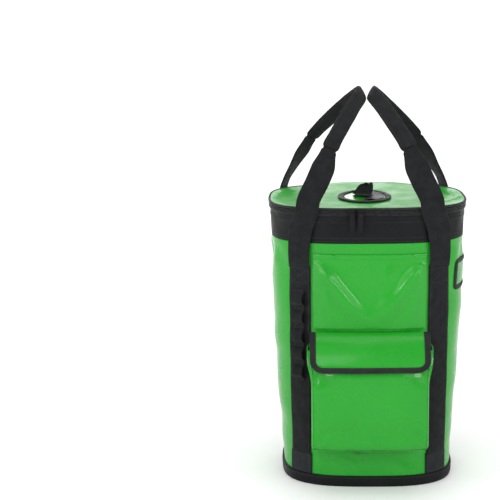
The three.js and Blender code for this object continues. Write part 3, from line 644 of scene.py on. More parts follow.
def stitch_wall(points, layer):
    """Stitches on a wall layer through a list of (z, distance) corners."""
    path, normals = [], []
    for (z0, d0), (z1, d1) in zip(points, points[1:]):
        steps = max(int(math.hypot(z1 - z0, d1 - d0) / 6), 1)
        for k in range(steps + (1 if (z1, d1) == points[-1] else 0)):
            z, d = z0 + (z1 - z0) * k / steps, d0 + (d1 - d0) * k / steps
            path.append(wall_point(z, d, layer))
            normals.append(wall_frame(z, d)[1])
    stitch_row(bag_stitches, path, normals)


# ------------------------------------------------------------------ the wall, collar and base
AROUND_SEAMS = ((446.5, 0.1), (440.5, 0.1), (473.5, 0.75), (16.2, 3.35))  # height and layer


def wall_ring(name, zs, around, offset, thickness, material, replaces):
    """A piece that goes right round the bag. offset(place) is how far it stands out."""
    outer = []
    for z in zs:
        total = 2 * HALF_AROUND * wall_scale(z)
        places = [wall_frame(z, 2 * HALF_AROUND * j / around)[0] for j in range(around)]
        outer.append([wall_point(z, total * j / around, offset(p)) for j, p in enumerate(places)])
    mesh = Mesh()
    us = [2 * HALF_AROUND * j / around for j in range(around + 1)]
    mesh.sheet(outer, thick(outer, thickness, wrap=True), us, zs, wrap=True)
    mesh.build(name, material, "bag", replaces)


def body_offset(p):
    return 0.5 * bump(p.z, BODY_TOP - 4, 5) - 0.25 * (1 - smooth(p.z, BODY_BOTTOM, 24))


def collar_offset(p):
    """The collar's fabric is thin, and puckers where it's gathered on its two seams."""
    calm = smooth(p.z, 440, 452) * (1 - smooth(p.z, 470, 480))
    pucker = 1.3 * rough((p.x, p.y, p.z * 0.35), 26, 2.2) + 0.8 * rough(p, 60, 6.4)
    return calm * pucker + 0.6 * smooth(p.z, 470, 472)


def base_offset(p):
    """A full, rolled trim, 20 mm high."""
    return 0.9 + 2.6 * math.sqrt(max(1 - abs((p.z - 10) / 10) ** 5, 0))


def make_body():
    zs = with_edges(BODY_BOTTOM, BODY_TOP, 76, 1.0)
    wall_ring("body_skin", zs, 260, body_offset, WALL, TARPAULIN, ["body_shell"])
    zs = with_edges(BODY_TOP + 0.4, COLLAR_TOP, 20, 0.8)
    wall_ring("collar_skin", zs, 320, collar_offset, 1.6, COATED, ["collar"])
    zs = [0, 0.6, 1.6, 3, 5, 8, 12, 15, 17, 18.4, 19.4, 20]
    wall_ring("base_trim_skin", zs, 200, base_offset, 2.2, COATED, ["base_trim"])
    for z, layer in AROUND_SEAMS:
        stitch_wall([(z, 0), (z, 2 * HALF_AROUND * wall_scale(z))], layer)


# ------------------------------------------------------------------ zip and lid
ZIP_END_X, COIL_PITCH, COIL_STEPS = 93.4, 2.4, 1500


def make_zip():
    """Two halves of tape, each with a beaded coil at its edge and a piped seam."""
    end = distance_at(ZIP_SPLIT, ZIP_END_X, True)
    for side, name, body in ((-1, "lower", "bag"), (1, "upper", "lid")):
        mesh = Mesh()
        far, near = ZIP_SPLIT + side * 4.1, ZIP_SPLIT + side * 1.4
        zs = sorted((far, far - side * 0.4, near + side * 0.4, near))
        wall_sheet(mesh, zs, lambda z: spread(-end, end, 180), -0.4, 1.5)
        path = [wall_point(ZIP_SPLIT + side * 1.15, d, 1.75) for d in spread(-end, end, COIL_STEPS)]
        turns = 2 * end / COIL_STEPS / COIL_PITCH
        tube(mesh, path, 1.02, 6, beads=lambda k: 1 + 0.16 * math.sin(2 * math.pi * k * turns))
        path = [wall_point(ZIP_SPLIT + side * 3.4, d, 1.9) for d in spread(-end, end, 260)]
        tube(mesh, path, 0.85, 8)
        mesh.build(f"zip_{name}", ZIP, body, [f"zip_tape_{name}"])


def lid_height(x, y):
    """The lid rises towards its hinge, and sags inside its piping at the two sides."""
    r = min(math.hypot(x / 165, y / 135), 1)
    free = 1 - r ** 4
    near_port = bump(math.hypot((x - PORT_X) / PORT_HALF_X, (y - PORT_Y) / PORT_HALF_Y), 1.0, 0.45)
    dents = 1.3 * rough((x, y, 0), 75, 2.9) + 0.5 * rough((x, y, 0), 34, 7.7)
    sides = -5.0 * smooth(abs(x), 105, 140) * (1 - smooth(r, 0.93, 1.0))
    return free * (dents * (1 - 0.75 * near_port) - 0.3) + sides + hinge_rise(x, y)


def hinge_rise(x, y):
    return 3.6 * (1 - smooth(abs(x), 40, 105)) * smooth(y, -40, 130)


def on_lid(x, y, height):
    return Vector((x, y, LID_TOP + lid_height(x, y) + height))


def port_place(angle, grow, size=1.0):
    """A place on the port's oval, grown by a width or scaled towards its middle."""
    return (PORT_X + (PORT_HALF_X + grow) * size * math.cos(angle),
            PORT_Y + (PORT_HALF_Y + grow) * size * math.sin(angle))


def lid_edge(i, count, offset):
    total = 2 * HALF_AROUND * wall_scale(LID_TOP)
    point, normal = wall_frame(LID_TOP, total * i / count + total / 4)
    return point + normal * offset


HINGE_HALF, HINGE_LOW, LID_AROUND, LID_ROWS = 92.0, 474.0, 192, 22


def make_lid():
    outer = []
    for t in spread(0, 1, LID_ROWS):
        row = []
        for i in range(LID_AROUND):
            rim = Vector((*port_place(turn(i, LID_AROUND), 0.4), 0))
            p = rim.lerp(lid_edge(i, LID_AROUND, -0.5), t)
            row.append(on_lid(p.x, p.y, 0))
        outer.append(row)
    mesh = Mesh()
    us, vs = spread(0, 900, LID_AROUND + 1), spread(0, 130, LID_ROWS)
    mesh.sheet(outer, lowered(outer, 1.6), us, vs, wrap=True)
    mesh.build("lid_skin", LID, "lid", ["lid_panel"])

    mesh = Mesh()
    reach = distance_at(LID_TOP, HINGE_HALF + 1, True)
    path = [wall_point(LID_TOP - 1.4, d, 1.75) for d in spread(-reach, reach, 240)]
    tube(mesh, path, 2.35, 12, flatten=0.72)
    mesh.build("lid_piping", BINDING, "lid", ["lid_binding"])


def make_hinge_panel():
    """Up the wall behind the zip, and over the lid's edge."""
    levels = with_edges(0, 1, 20, 0.03)
    outer, inner = [], []
    for t in levels:
        row, under = [], []
        edge = t in (levels[0], levels[-1])
        over = 2.6 * smooth(t, 0.88, 1.0)
        for d in back_columns(480, HINGE_HALF, 44):
            point, normal = wall_frame(480, d)
            top = LID_TOP + hinge_rise(point.x, point.y) + 0.4
            z = HINGE_LOW + (top - HINGE_LOW) * t
            base = wall_frame(min(z, LID_TOP), d)[0] + Vector((0, 0, z - min(z, LID_TOP)))
            row.append(base + normal * (LAYER + (0.7 if edge else 1.2) - over))
            under.append(base + normal * (LAYER - over) - Vector((0, 0, 0.9 * smooth(t, 0.88, 1.0))))
        outer.append(row)
        inner.append(under)
    mesh = Mesh()
    mesh.sheet(outer, inner, spread(-HINGE_HALF, HINGE_HALF, len(outer[0])), [24 * t for t in levels])
    hinge = mesh.build("hinge_panel_skin", TAUT, None, ["lid_hinge_panel"])
    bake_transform(hinge)


def front_columns(z, half, count):
    reach = distance_at(z, half, False)
    return [-reach] + spread(-reach + 0.7, reach - 0.7, count) + [reach]


def back_columns(z, half, count):
    middle = HALF_AROUND * wall_scale(z)
    reach = middle - distance_at(z, half, True)
    return [middle - reach] + spread(middle - reach + 0.7, middle + reach - 0.7, count) + [middle + reach]


RING_AROUND, RING_SIDES, COVER_ROWS, COVER_AROUND = 96, 14, 12, 72


def make_port_ring():
    rings = []
    for i in range(RING_AROUND):
        ring = []
        for j in range(RING_SIDES):
            b = turn(j, RING_SIDES)
            x, y = port_place(turn(i, RING_AROUND), 5.9 + 5.2 * math.cos(b))
            soft = 0.25 * rough((x, y, 0), 12, 4.4)
            ring.append(on_lid(x, y, 2.2 + (1.75 + soft) * math.sin(b)))
        rings.append(ring)
    mesh = Mesh()
    mesh.sweep(rings, spread(0, 30, RING_SIDES + 1), spread(0, 300, RING_AROUND + 1), closed=True)
    mesh.build("port_ring", BINDING, "lid", ["port_rim"])
    mesh = Mesh()
    path = [on_lid(*port_place(turn(i, 160), 3.2), 3.7) for i in range(160)]
    stitch_row(mesh, path + path[:1], [Vector((0, 0, 1))] * 161)
    mesh.build("port_stitching", THREAD, "lid")


def make_port_cover():
    outer = []
    for size in spread(0.02, 1, COVER_ROWS):
        row = []
        for i in range(COVER_AROUND):
            x, y = port_place(-turn(i, COVER_AROUND), -0.7, size)
            row.append(on_lid(x, y, 1.5 + 0.5 * rough((x, y, 0), 30, 9.1) * (1 - size ** 3)))
        outer.append(row)
    mesh = Mesh()
    us, vs = spread(0, 280, COVER_AROUND + 1), spread(0, 40, COVER_ROWS)
    mesh.sheet(outer, lowered(outer, 1.0), us, vs, wrap=True)
    cover = mesh.build("port_cover_skin", TARPAULIN, None, ["port_flap"])
    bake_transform(cover)

    outer = []
    for y in spread(PORT_Y - 43, PORT_Y + 43, 26):
        row = []
        reach = (PORT_HALF_X - 1.6) * math.sqrt(1 - ((y - PORT_Y) / (PORT_HALF_Y - 1.6)) ** 2)
        for x in spread(PORT_X + 1 + 5 * math.cos((y - PORT_Y) / 14), PORT_X + reach, 12):
            swell = 1.6 * math.sin(math.pi * min(max((x - PORT_X) / reach, 0), 1))
            row.append(on_lid(x, y, 3.4 + swell + 0.4 * rough((x, y, 0), 14, 3.3)))
        outer.append(row)
    mesh = Mesh()
    mesh.sheet(outer, lowered(outer, 1.2), spread(0, 30, 12), spread(0, 86, 26))
    mesh.build("port_cover_patch", COATED, "port_cover")


def make_pull_tab():
    """A folded tab that stands up from the cover, twisted to a point."""
    y, low = PORT_Y + 8, LID_TOP + 2.6
    foot, peak = PORT_X - 3, PORT_X + 7
    stops = [((foot, y + 16, low + 1.0), (1, 0, 0), 34), ((foot, y + 7, low + 3), (1, 0, 0), 33),
             ((foot + 2, y + 2.6, low + 8), (1, 0, 0.2), 29),
             ((peak - 2, y + 1.4, low + 15), (1, 0, 0.5), 21),
             ((peak + 3, y, low + 21.4), (1, 0, 0.95), 11),
             ((peak - 1, y - 2.2, low + 14.4), (1, 0, 0.5), 21),
             ((foot + 4, y - 4.2, low + 8), (1, 0, 0.2), 28),
             ((foot + 2, y - 8, low + 3.4), (1, 0, 0), 32), ((foot + 1, y - 17, low + 1.6), (1, 0, 0), 33)]
    web_piece("pull_tab_web", WEB, "port_cover", ["port_pull_tab"], stops, 48, 1.5)


# ------------------------------------------------------------------ sewn webbing, patches and handles
STITCH_INSET, BAR_LOW, BAR_HIGH, BAR_HALF = 3.2, 24.5, 53.5, 18.5


def make_sewn():
    """The four straps sewn down the wall, the wear patches at their feet, and their stitches."""
    half = WEBBING / 2
    for side_name, side in SIDES:
        for place, x, back in (("front", STRAP_FRONT_X, False), ("back", STRAP_BACK_X, True)):

            def columns(z, reach=half):
                middle = distance_at(z, side * x, back)
                return [middle + d for d in with_edges(-reach, reach, 9)]

            def row(spots, layer):
                stitch_wall([(z, distance_at(z, side * x, back) + across) for z, across in spots], layer)

            sewn(f"{place}_strap_web_{side_name}", WEB, [f"{place}_strap_{side_name}"],
                 with_edges(STRAP_BOTTOM - 1, STRAP_TOP + 3, 60), columns, LAYER, WEBBING_THICK, 0.7,
                 lambda a, b: 0.35 * (2 * a - 1) ** 2 + 0.3 * math.sin(9 * b + side))
            sewn(f"{place}_patch_{side_name}", WEAR, [f"{place}_wear_patch_{side_name}"],
                 with_edges(20.6, 57.5, 10), lambda z: columns(z, 22), LAYER + 0.1,
                 2.6 if place == "front" else 2.4, 0.9)

            top, low = STRAP_TOP - 2, STRAP_TOP - 26
            layer = LAYER + WEBBING_THICK + 0.05
            inner, cross = half - STITCH_INSET, half - 4
            for across in (-inner, inner):
                row([(z, across) for z in spread(top, 58, 12)], layer + 0.3)
            for spots in ([(top, -inner), (top, inner)], [(low, -inner), (low, inner)],
                          [(top, -cross), (low, cross)], [(top, cross), (low, -cross)]):
                row(spots, layer + 0.2)
            for z in (BAR_LOW, BAR_HIGH):
                row([(z, -BAR_HALF), (z, BAR_HALF)], LAYER + 2.7)
            for across in (-BAR_HALF, BAR_HALF):
                row([(BAR_LOW, across), (BAR_HIGH, across)], LAYER + 2.7)


HANDLE_LOOP = (  # the left handle, from its front foot over the crest to its back foot
    ((-107, -146.8, 499), (0.95, 0.15, -0.3), 40), ((-102, -147, 515), (0.93, 0.15, -0.34), 40),
    ((-89, -145.5, 542), (0.9, 0.1, -0.4), 40), ((-77, -139.5, 569), (0.9, 0, -0.44), 40),
    ((-66, -125, 598), (0.87, -0.1, -0.5), 23), ((-44, -92, 634), (0.75, -0.2, -0.63), 22),
    ((-24, -52, 662), (0.6, -0.1, -0.78), 22), ((-8.4, 0, 680), (0.42, 0, -0.91), 22),
    ((-31, 50, 659), (0.55, 0.25, -0.75), 22), ((-64, 86, 627), (0.64, 0.4, -0.6), 22),
    ((-95, 107, 593), (0.62, 0.62, -0.45), 23), ((-112, 112, 566), (0.5, 0.78, -0.3), 40),
    ((-128, 117, 539), (0.34, 0.9, -0.2), 40), ((-142.5, 121, 513.4), (0.28, 0.95, -0.05), 40),
)
ACROSS_FRONT, ACROSS_BACK = (0.9866, 0.1631, 0), (0.32, 0.94, 0)


def mirror_stops(stops, side):
    """Stops are for the left side, which is towards -X."""
    if side < 0:
        return [(Vector(p), Vector(w), width) for p, w, width in stops]
    return [(Vector((-p[0], p[1], p[2])), Vector((-w[0], w[1], w[2])), width) for p, w, width in stops]


def riser_stop(z, x, back, offset, across):
    return (wall_point(z, distance_at(z, x, back), offset), across, WEBBING)


def carry_stops():
    """One length of webbing: up the front, over the crest and down the back."""
    front = [riser_stop(z, x, False, offset, across) for z, x, offset, across in (
        (393, -118, 2.4, (0.88, -0.48, 0)), (404, -118, 4.6, (0.88, -0.48, 0)),
        (430, -117, 6, (0.9, -0.42, 0)), (466, -112, 8.5, (0.96, -0.2, -0.1)))]
    front += [((-106, -142.6, 492), ACROSS_FRONT, WEBBING),
              ((-102.8, -145.6, 513), (0.97, 0.16, -0.15), WEBBING)]
    back = [((-143.5, 121.5, 511), ACROSS_BACK, WEBBING), ((-149, 122.5, 492), ACROSS_BACK, WEBBING),
            ((-147, 122, 466), (0.6, 0.8, 0), WEBBING)]
    back += [riser_stop(z, x, True, offset, across) for z, x, offset, across in (
        (430, -133, 7, (0.75, 0.66, 0)), (404, -128, 4.6, (0.83, 0.56, 0)),
        (393, -128, 2.4, (0.83, 0.56, 0)))]
    return front + list(HANDLE_LOOP[2:13]) + back


GRIP_WIDTH, GRIP_THICK, GRIP_SPAN = 27.5, 8.8, (4 / 13, 10 / 13)


def grip_profile(half, thickness, count=20):
    """A webbing folded lengthwise in a sleeve: full on one edge, pinched at the seam on the other."""
    points = []
    for i in range(count):
        a = turn(i, count)
        pinch = 0.75 + 0.25 * smooth(math.cos(a), -1, 0.2)
        points.append((half * math.copysign(abs(math.cos(a)) ** 0.75, math.cos(a)),
                       thickness / 2 * pinch * math.copysign(abs(math.sin(a)) ** 0.7, math.sin(a))))
    return points


def webbing_width(point, width):
    """The webbing stays flat and full until it's folded lengthwise to go into the grip."""
    start = 594 if point.y < 0 else 588
    if point.z > start:
        return min(width, 23)
    return WEBBING - 13 * smooth(point.z, start - 30, start)


def grip_frames(stops):
    """The sleeve's frames along the handle, pinched at its two ends."""
    low, high = GRIP_SPAN
    ts = [low, low + 0.002] + spread(low + 0.006, high - 0.006, 88) + [high - 0.002, high]
    frames = []
    for k, (p, w, n, _) in enumerate(band_frames(stops, ts)):
        end = min(k, len(ts) - 1 - k)
        flare = (0.93, 0.98)[end] if end < 2 else 1.0 + 0.04 * bump(end, 3, 2)
        frames.append((p, w, n, GRIP_WIDTH * flare * (1 + 0.03 * rough(p, 22, 5.5))))
    return frames


def make_handles():
    for name, side in SIDES:
        body = f"carry_{name}"
        frames = band_frames(mirror_stops(carry_stops(), side), spread(0, 1, 260))
        mesh = Mesh()
        band(mesh, [(p, w, n, webbing_width(p, width)) for p, w, n, width in frames], WEBBING_THICK, sway=0.5)
        web = mesh.build(f"carry_webbing_{name}", WEB, None,
                         [f"front_riser_{name}", f"back_riser_{name}", f"handle_{name}"])
        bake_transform(web)

        frames = grip_frames(mirror_stops(HANDLE_LOOP, side))
        mesh = Mesh()
        band(mesh, frames, GRIP_THICK, grip_profile)
        mesh.build(f"grip_sleeve_{name}", WEB, body, [f"grip_{name}"])
        mesh = Mesh()
        for face in (1, -1):
            path = [p + w * (side * width * 0.36) + n * (face * 3.75) for p, w, n, width in frames[2:-2]]
            stitch_row(mesh, path, [n * face for _, _, n, _ in frames[2:-2]])
        mesh.build(f"grip_stitching_{name}", THREAD, body)


# ------------------------------------------------------------------ front panels and pocket
OVERLAY_FOLDS = (  # where each fold starts at the top, how far it runs across, its height and its width
    (0.97, 0.86, 9.0, 0.16), (-0.97, -0.94, 8.4, 0.14), (0.94, 0.28, 4.4, 0.09), (-0.95, -0.36, 4.6, 0.10),
    (0.45, 0.35, 3.4, 0.12), (-0.90, -0.62, 2.8, 0.06),
)
PINCHES = ((-0.90, 0.87), (0.88, 0.84), (0.74, 0.975), (-0.62, 0.975))


def overlay_lift(a, b):
    """The panel is free along its lower edge, and soft folds run down from its two top corners."""
    x, down = 2 * a - 1, 1 - b
    free = (1 - smooth(b, 0.0, 0.6)) * (1 - abs(x) ** 6)
    sag = 5.0 * free * (0.75 + 0.25 * math.cos(3.1 * x + 0.4))
    folds = 0.0
    for start, run, height, width in OVERLAY_FOLDS:
        line = x - (start - run * down)
        reach = smooth(down, 0.06, 0.3) * (1 - 0.55 * smooth(down, 0.6, 1.0))
        folds += height * bump(line, 0, width * (0.6 + 0.8 * down)) * reach
    for across, height in PINCHES:
        folds += 2.6 * bump(x, across, 0.055) * bump(b + 0.35 * (x - across), height, 0.035)
    hollow = -1.6 * bump(b, 0.90, 0.04) * (1 - x ** 6)
    lift = max(sag + (folds + hollow) * (1 - abs(x) ** 10), 0)
    most = 1.9 + 0.42 * b * (OVERLAY_TOP - OVERLAY_BOTTOM)
    return lift * most / math.hypot(lift, most)


def make_overlay():
    panel = sewn("overlay_skin", TARPAULIN, ["front_overlay_panel"],
                 with_edges(OVERLAY_BOTTOM, OVERLAY_TOP, 60), lambda z: front_columns(z, OVERLAY_HALF, 90),
                 LAYER, 1.2, 0.4, overlay_lift)
    hem = sewn("overlay_hem", TAUT, [], with_edges(OVERLAY_TOP - 8, OVERLAY_TOP + 0.4, 5),
               lambda z: front_columns(z, OVERLAY_HALF - 0.3, 70), LAYER + 0.8, 1.0, 0.5)
    width = 2 * distance_at(350, OVERLAY_HALF, False)


POCKET_CORNER, POCKET_FLOOR, POCKET_THICK, SEAM_RADIUS = 15, 16, 1.6, 9


def pocket_depth(t):
    """How far out the pocket's front stands, from 0 at the wall to 1."""
    return math.sqrt(max(1 - (1 - t) ** 2.4, 0))


def pocket_section(z, inset):
    """The pocket's horizontal section: a pleated gusset, a seamed corner, and a puffed front."""
    low = max(POCKET_CORNER - (z - POCKET_BOTTOM), 0)
    half = POCKET_HALF - inset - (POCKET_CORNER - math.sqrt(POCKET_CORNER ** 2 - low * low))
    front = POCKET_FRONT + inset + 8 * smooth(z, 225, POCKET_FRONT_TOP)
    wall_y = wall_frame(z, distance_at(z, half - 1, False))[0].y
    pleat = 6.5 * smooth(z, POCKET_BOTTOM, 130) * (1 - smooth(z, 225, 262))
    ear = 7.5 * smooth(z, 196, 244)
    points = []
    for t in spread(0, 1, 17):
        fold = math.sin(math.pi * t) ** 2 - 0.35 * math.sin(2 * math.pi * t) ** 2
        points.append((half - pleat * fold + ear * smooth(t, 0.3, 0.75),
                       wall_y - 0.6 + (front + SEAM_RADIUS - wall_y) * t))
    fall = 7 * smooth(z, 186, 222) + 5 * (1 - smooth(z, 80, 116))
    for a in spread(0, math.pi / 2, 9)[1:]:
        points.append((half - SEAM_RADIUS * (1 - math.cos(a)) + ear * (1 - smooth(a, 0.2, 1.3)),
                       front + SEAM_RADIUS * (1 - math.sin(a)) + fall * math.sin(a)))
    for x in spread(half - 12, 0, 22):
        free = 1 - abs(x / half) ** 3
        puff = 5.5 * free * bump(z, 150, 80)
        corner = smooth(abs(x), 50, 88) * (1 - smooth(z, 100, 150))
        top = smooth(abs(x), 60, 90) * smooth(z, 165, 205)
        crease = 2.0 * rough((x, 0, z), 52, 3.8) + 4.2 * corner * rough((x + z, 0, 0.4 * (x - z)), 15, 6.1)
        crease += 3.4 * top * rough((x, 0, 0.6 * z), 19, 4.9)
        recede = fall * smooth(abs(x), 52, half - 12)
        outwards = (puff + crease * min(free * 2, 1)) * (1 - smooth(z, 212, 224))
        points.append((x, front + recede - outwards + 0.6))
    return points


def pocket_surface(zs, inset):
    """The pocket's shell at an inset, as rows of points from its left edge to its right."""
    grid = []
    for z in zs:
        t = min((z - POCKET_BOTTOM) / POCKET_FLOOR, 1)
        depth = pocket_depth(0.04 + 0.96 * t)
        half = pocket_section(z, inset)
        row = []
        for x, y in [(-x, y) for x, y in half] + list(reversed(half))[1:]:
            wall_y = wall_frame(z, distance_at(z, min(abs(x), POCKET_HALF - 1), False))[0].y - 0.9
            puffed = t * (1 - smooth(z, 205, 222)) * (1 - smooth(abs(x), 76, 90))
            uneven = 1.2 * rough((x, y, z), 42, 11.3) * puffed
            place = Vector((x, wall_y + (y - wall_y) * depth - uneven + inset * (1 - depth) / 2, z))
            rise = smooth(z, 225, POCKET_FRONT_TOP) * smooth(place.y, POCKET_FRONT, wall_y)
            place.z += rise * (POCKET_TOP - POCKET_FRONT_TOP - 4)
            row.append(place)
        grid.append(row)
    return grid


def make_pocket():
    zs = [POCKET_BOTTOM + POCKET_FLOOR * (i / 14) ** 1.6 for i in range(14)]
    zs += spread(POCKET_BOTTOM + POCKET_FLOOR, POCKET_FRONT_TOP, 46)
    outer, inner = pocket_surface(zs, 0), pocket_surface(zs, POCKET_THICK)
    for row_out, row_in in zip(outer, inner):
        for a, b in zip(row_out, row_in):
            if (a - b).length < 0.8:
                b.y += 0.9
    mesh = Mesh()
    mesh.sheet(outer, inner, lengths_along(outer[30]), zs)
    mesh.build("pocket_skin", TARPAULIN, "bag", ["pocket_body"])

    mesh = Mesh()
    corner, last = 20, len(outer[0]) - 1
    for k in (corner, last - corner):
        tube(mesh, [row[k] + Vector((0, -0.3, 0)) for row in outer[6:]], 1.2, 8, up=Vector((1, 0, 0)))
    tube(mesh, outer[7][16:last - 15], 1.1, 8)
    mesh.build("pocket_piping", TAUT, "bag")


def flap_profile(count=40):
    """The flap's side view as (length so far, y, z): sloping out over the pocket, then straight down."""
    corners = (FLAP_HINGE, FLAP_BEND, (FLAP_FRONT, FLAP_TURN_Z))
    points = []
    for t in spread(0, 1, count):
        weights = ((1 - t) ** 2, 2 * t * (1 - t), t * t)
        points.append(Vector([sum(w * c[i] for w, c in zip(weights, corners)) for i in (0, 1)]))
    points.append(Vector((FLAP_FRONT, FLAP_BOTTOM)))
    return [(length, p[0], p[1]) for length, p in zip(lengths_along(points), points)]


FLAP_PROFILE = flap_profile()
FLAP_LENGTHS = [p[0] for p in FLAP_PROFILE]
FLAP_LENGTH = FLAP_LENGTHS[-1]
FLAP_BINDING, FLAP_CORNER = 5, 20
FLAP_EDGE_SECTION = (  # (inwards, outwards) of the folded tape
    (5, 0.9), (4.9, 1.35), (2, 1.55), (-3, 1.5), (-4.7, 1.2), (-5.2, 0.1), (-4.8, -1.3), (-3, -1.9),
    (2, -2.0), (4.9, -1.8), (5, -1.3), (4.6, -0.2),
)


def flap_surface(x, down, lift=0.0):
    """A point on the flap, a distance down from its hinge, and the direction outwards there."""
    high = min(max(bisect.bisect_left(FLAP_LENGTHS, down), 1), len(FLAP_PROFILE) - 1)
    (l0, y0, z0), (l1, y1, z1) = FLAP_PROFILE[high - 1], FLAP_PROFILE[high]
    t = (down - l0) / (l1 - l0)
    normal = Vector((0, z1 - z0, y0 - y1)).normalized()
    wave = smooth(down, 12, 40) * (rough((x, down, 0), 48, 2.4) + 0.8 * math.cos(x / 34))
    hem = 0.12 * max(down - FLAP_LENGTHS[-2], 0) * math.cos(x / 41 + 0.6)
    return Vector((x, y0 + (y1 - y0) * t, z0 + (z1 - z0) * t)) + normal * (lift + wave + hem), normal


def flap_outline(inset, count=14):
    """Down the left edge, round the two lower corners and up the right edge, as (x, down)."""
    half, total = FLAP_HALF - inset, FLAP_LENGTH - inset
    r = FLAP_CORNER - inset * 0.6
    angles = spread(0, math.pi / 2, count)[1:]
    points = [(-half, d) for d in spread(0.5, total - r, 40)]
    points += [(-half + r - r * math.cos(a), total - r + r * math.sin(a)) for a in angles]
    points += [(x, total) for x in spread(-half + r, half - r, 60)[1:]]
    points += [(half - r + r * math.sin(a), total - r + r * math.cos(a)) for a in angles]
    return points + [(half, d) for d in spread(total - r, 0.5, 40)[1:]]


def make_flap():
    total, corner = FLAP_LENGTH - FLAP_BINDING, FLAP_CORNER - 3
    downs = spread(0.5, total, 44)
    outer, inner = [], []
    for down in downs:
        reach = FLAP_HALF - FLAP_BINDING
        if down > total - corner:
            reach -= corner - math.sqrt(max(corner ** 2 - (down - total + corner) ** 2, 0))
        surface = [flap_surface(x, down) for x in spread(-reach, reach, 60)]
        outer.append([p for p, _ in surface])
        inner.append([p - n * 1.3 for p, n in surface])
    mesh = Mesh()
    mesh.sheet(outer, inner, spread(-FLAP_HALF, FLAP_HALF, 60), downs)
    mesh.build("flap_skin", TAUT, "pocket_flap", ["flap_panel"])

    edge = flap_outline(FLAP_BINDING)
    rings, stitches, normals = [], [], []
    for k, (x, down) in enumerate(edge):
        ahead, behind = edge[min(k + 1, len(edge) - 1)], edge[max(k - 1, 0)]
        dx, dd = ahead[0] - behind[0], ahead[1] - behind[1]
        size = math.hypot(dx, dd)

        def across(reach, lift=0.0):
            return flap_surface(x + dd / size * reach, max(down - dx / size * reach, 0.3), lift)

        ring = []
        for reach, height in FLAP_EDGE_SECTION:
            p, n = across(reach)
            ring.append(p + n * (height - 0.3))
        rings.append(ring)
        here, n = across(3.2, 1.3)
        stitches.append(here)
        normals.append(n)
    mesh = Mesh()
    mesh.sweep(rings, spread(0, 26, len(FLAP_EDGE_SECTION) + 1), lengths_along(stitches))
    mesh.build("flap_edge", BINDING, "pocket_flap", ["flap_binding"])
    mesh = Mesh()
    stitch_row(mesh, stitches, normals)
    mesh.build("flap_stitching", THREAD, "pocket_flap")


LOOP_X, LOOP_TOP, LOOP_PITCH, LOOP_LENGTH, LOOP_RISE, LOOP_WIDTH = 117.5, 356, 32.6, 31.6, 9, 21
LOOP_SHAPE = (  # how far down a loop, and how much of its rise
    (0, 0), (0.10, 0), (0.17, 0.42), (0.33, 0.93), (0.5, 1.0), (0.67, 0.93), (0.83, 0.42), (0.90, 0), (1, 0),
)


def make_gear_loops():
    base = LAYER + WEBBING_THICK + 2
    for i in range(5):
        top = LOOP_TOP - i * LOOP_PITCH
        lean = 0.8 * math.sin(2.3 * i)
        stops = []
        for t, rise in LOOP_SHAPE:
            z = top - t * LOOP_LENGTH
            point = wall_point(z, distance_at(z, -LOOP_X, False), base + rise * LOOP_RISE)
            stops.append((point + Vector((0, 0, lean * rise)), (0.87, -0.49, 0), LOOP_WIDTH))
        web_piece(f"gear_loop_web_{i + 1}", NARROW_WEB, "bag", [f"gear_loop_{i + 1}"], stops, 44, 1.5)
        for t in (0.035, 0.965):
            z = top - t * LOOP_LENGTH
            middle = distance_at(z, -LOOP_X, False)
            for level in (z, z - 1.2):
                stitch_wall([(level, middle - 8.5), (level, middle + 8.5)], base + 0.95)


CARD_BORDER, CARD_LOW, CARD_HIGH, CARD_FRONT, CARD_BACK = 8.0, 346.0, 400.0, -95.0, 90.0
CARD_SECTION = ((4, 0.1), (3.8, 1.0), (2.2, 1.5), (0, 1.6), (-2.2, 1.5), (-3.8, 1.0), (-4, 0.1), (0, 0))


def card_outline(inset, count=8, size=5.0):
    """The middle line of the frame as (y, z), in steps of a size."""
    r = 6 - inset * 0.5
    y0, y1, z0, z1 = CARD_FRONT + inset, CARD_BACK - inset, CARD_LOW + inset, CARD_HIGH - inset
    corners = []
    middles = ((y1 - r, z1 - r), (y0 + r, z1 - r), (y0 + r, z0 + r), (y1 - r, z0 + r))
    for quarter, (cy, cz) in enumerate(middles):
        for a in spread(90 * quarter, 90 * quarter + 90, count):
            corners.append((cy + r * math.cos(math.radians(a)), cz + r * math.sin(math.radians(a))))
    line = []
    for (y0, z0), (y1, z1) in zip(corners, corners[1:] + corners[:1]):
        steps = max(int(math.hypot(y1 - y0, z1 - z0) / size), 1)
        line += [(y0 + (y1 - y0) * k / steps, z0 + (z1 - z0) * k / steps) for k in range(steps)]
    return line


def make_card_window():
    centre = card_outline(CARD_BORDER / 2)
    rings, vs = [], [0.0]
    for k, (y, z) in enumerate(centre):
        (ya, za), (yb, zb) = centre[(k + 1) % len(centre)], centre[k - 1]
        size = math.hypot(ya - yb, za - zb)
        ring = []
        for reach, height in CARD_SECTION:
            level = z + (ya - yb) / size * reach
            ring.append(wall_point(level, side_distance(level, y - (za - zb) / size * reach), LAYER + height))
        rings.append(ring)
        vs.append(vs[-1] + size / 2)
    mesh = Mesh()
    mesh.sweep(rings, spread(0, 22, len(CARD_SECTION) + 1), vs, closed=True)
    mesh.build("card_frame", BINDING, "bag", ["card_window_border"])
    spots = [(z, side_distance(z, y)) for y, z in centre + centre[:1]]
    stitch_row(bag_stitches, [wall_point(z, d, LAYER + 1.65) for z, d in spots],
               [wall_frame(z, d)[1] for z, d in spots])

    inset = CARD_BORDER + 0.2
    ys = with_edges(CARD_FRONT + inset, CARD_BACK - inset, 44)
    sewn("card_film", WINDOW, ["card_window"], with_edges(CARD_LOW + inset, CARD_HIGH - inset, 16),
         lambda z: [side_distance(z, y) for y in ys], LAYER - 0.1, 0.6, 0.2,
         lambda a, b: 1.3 * math.sin(math.pi * a) * math.sin(math.pi * b))


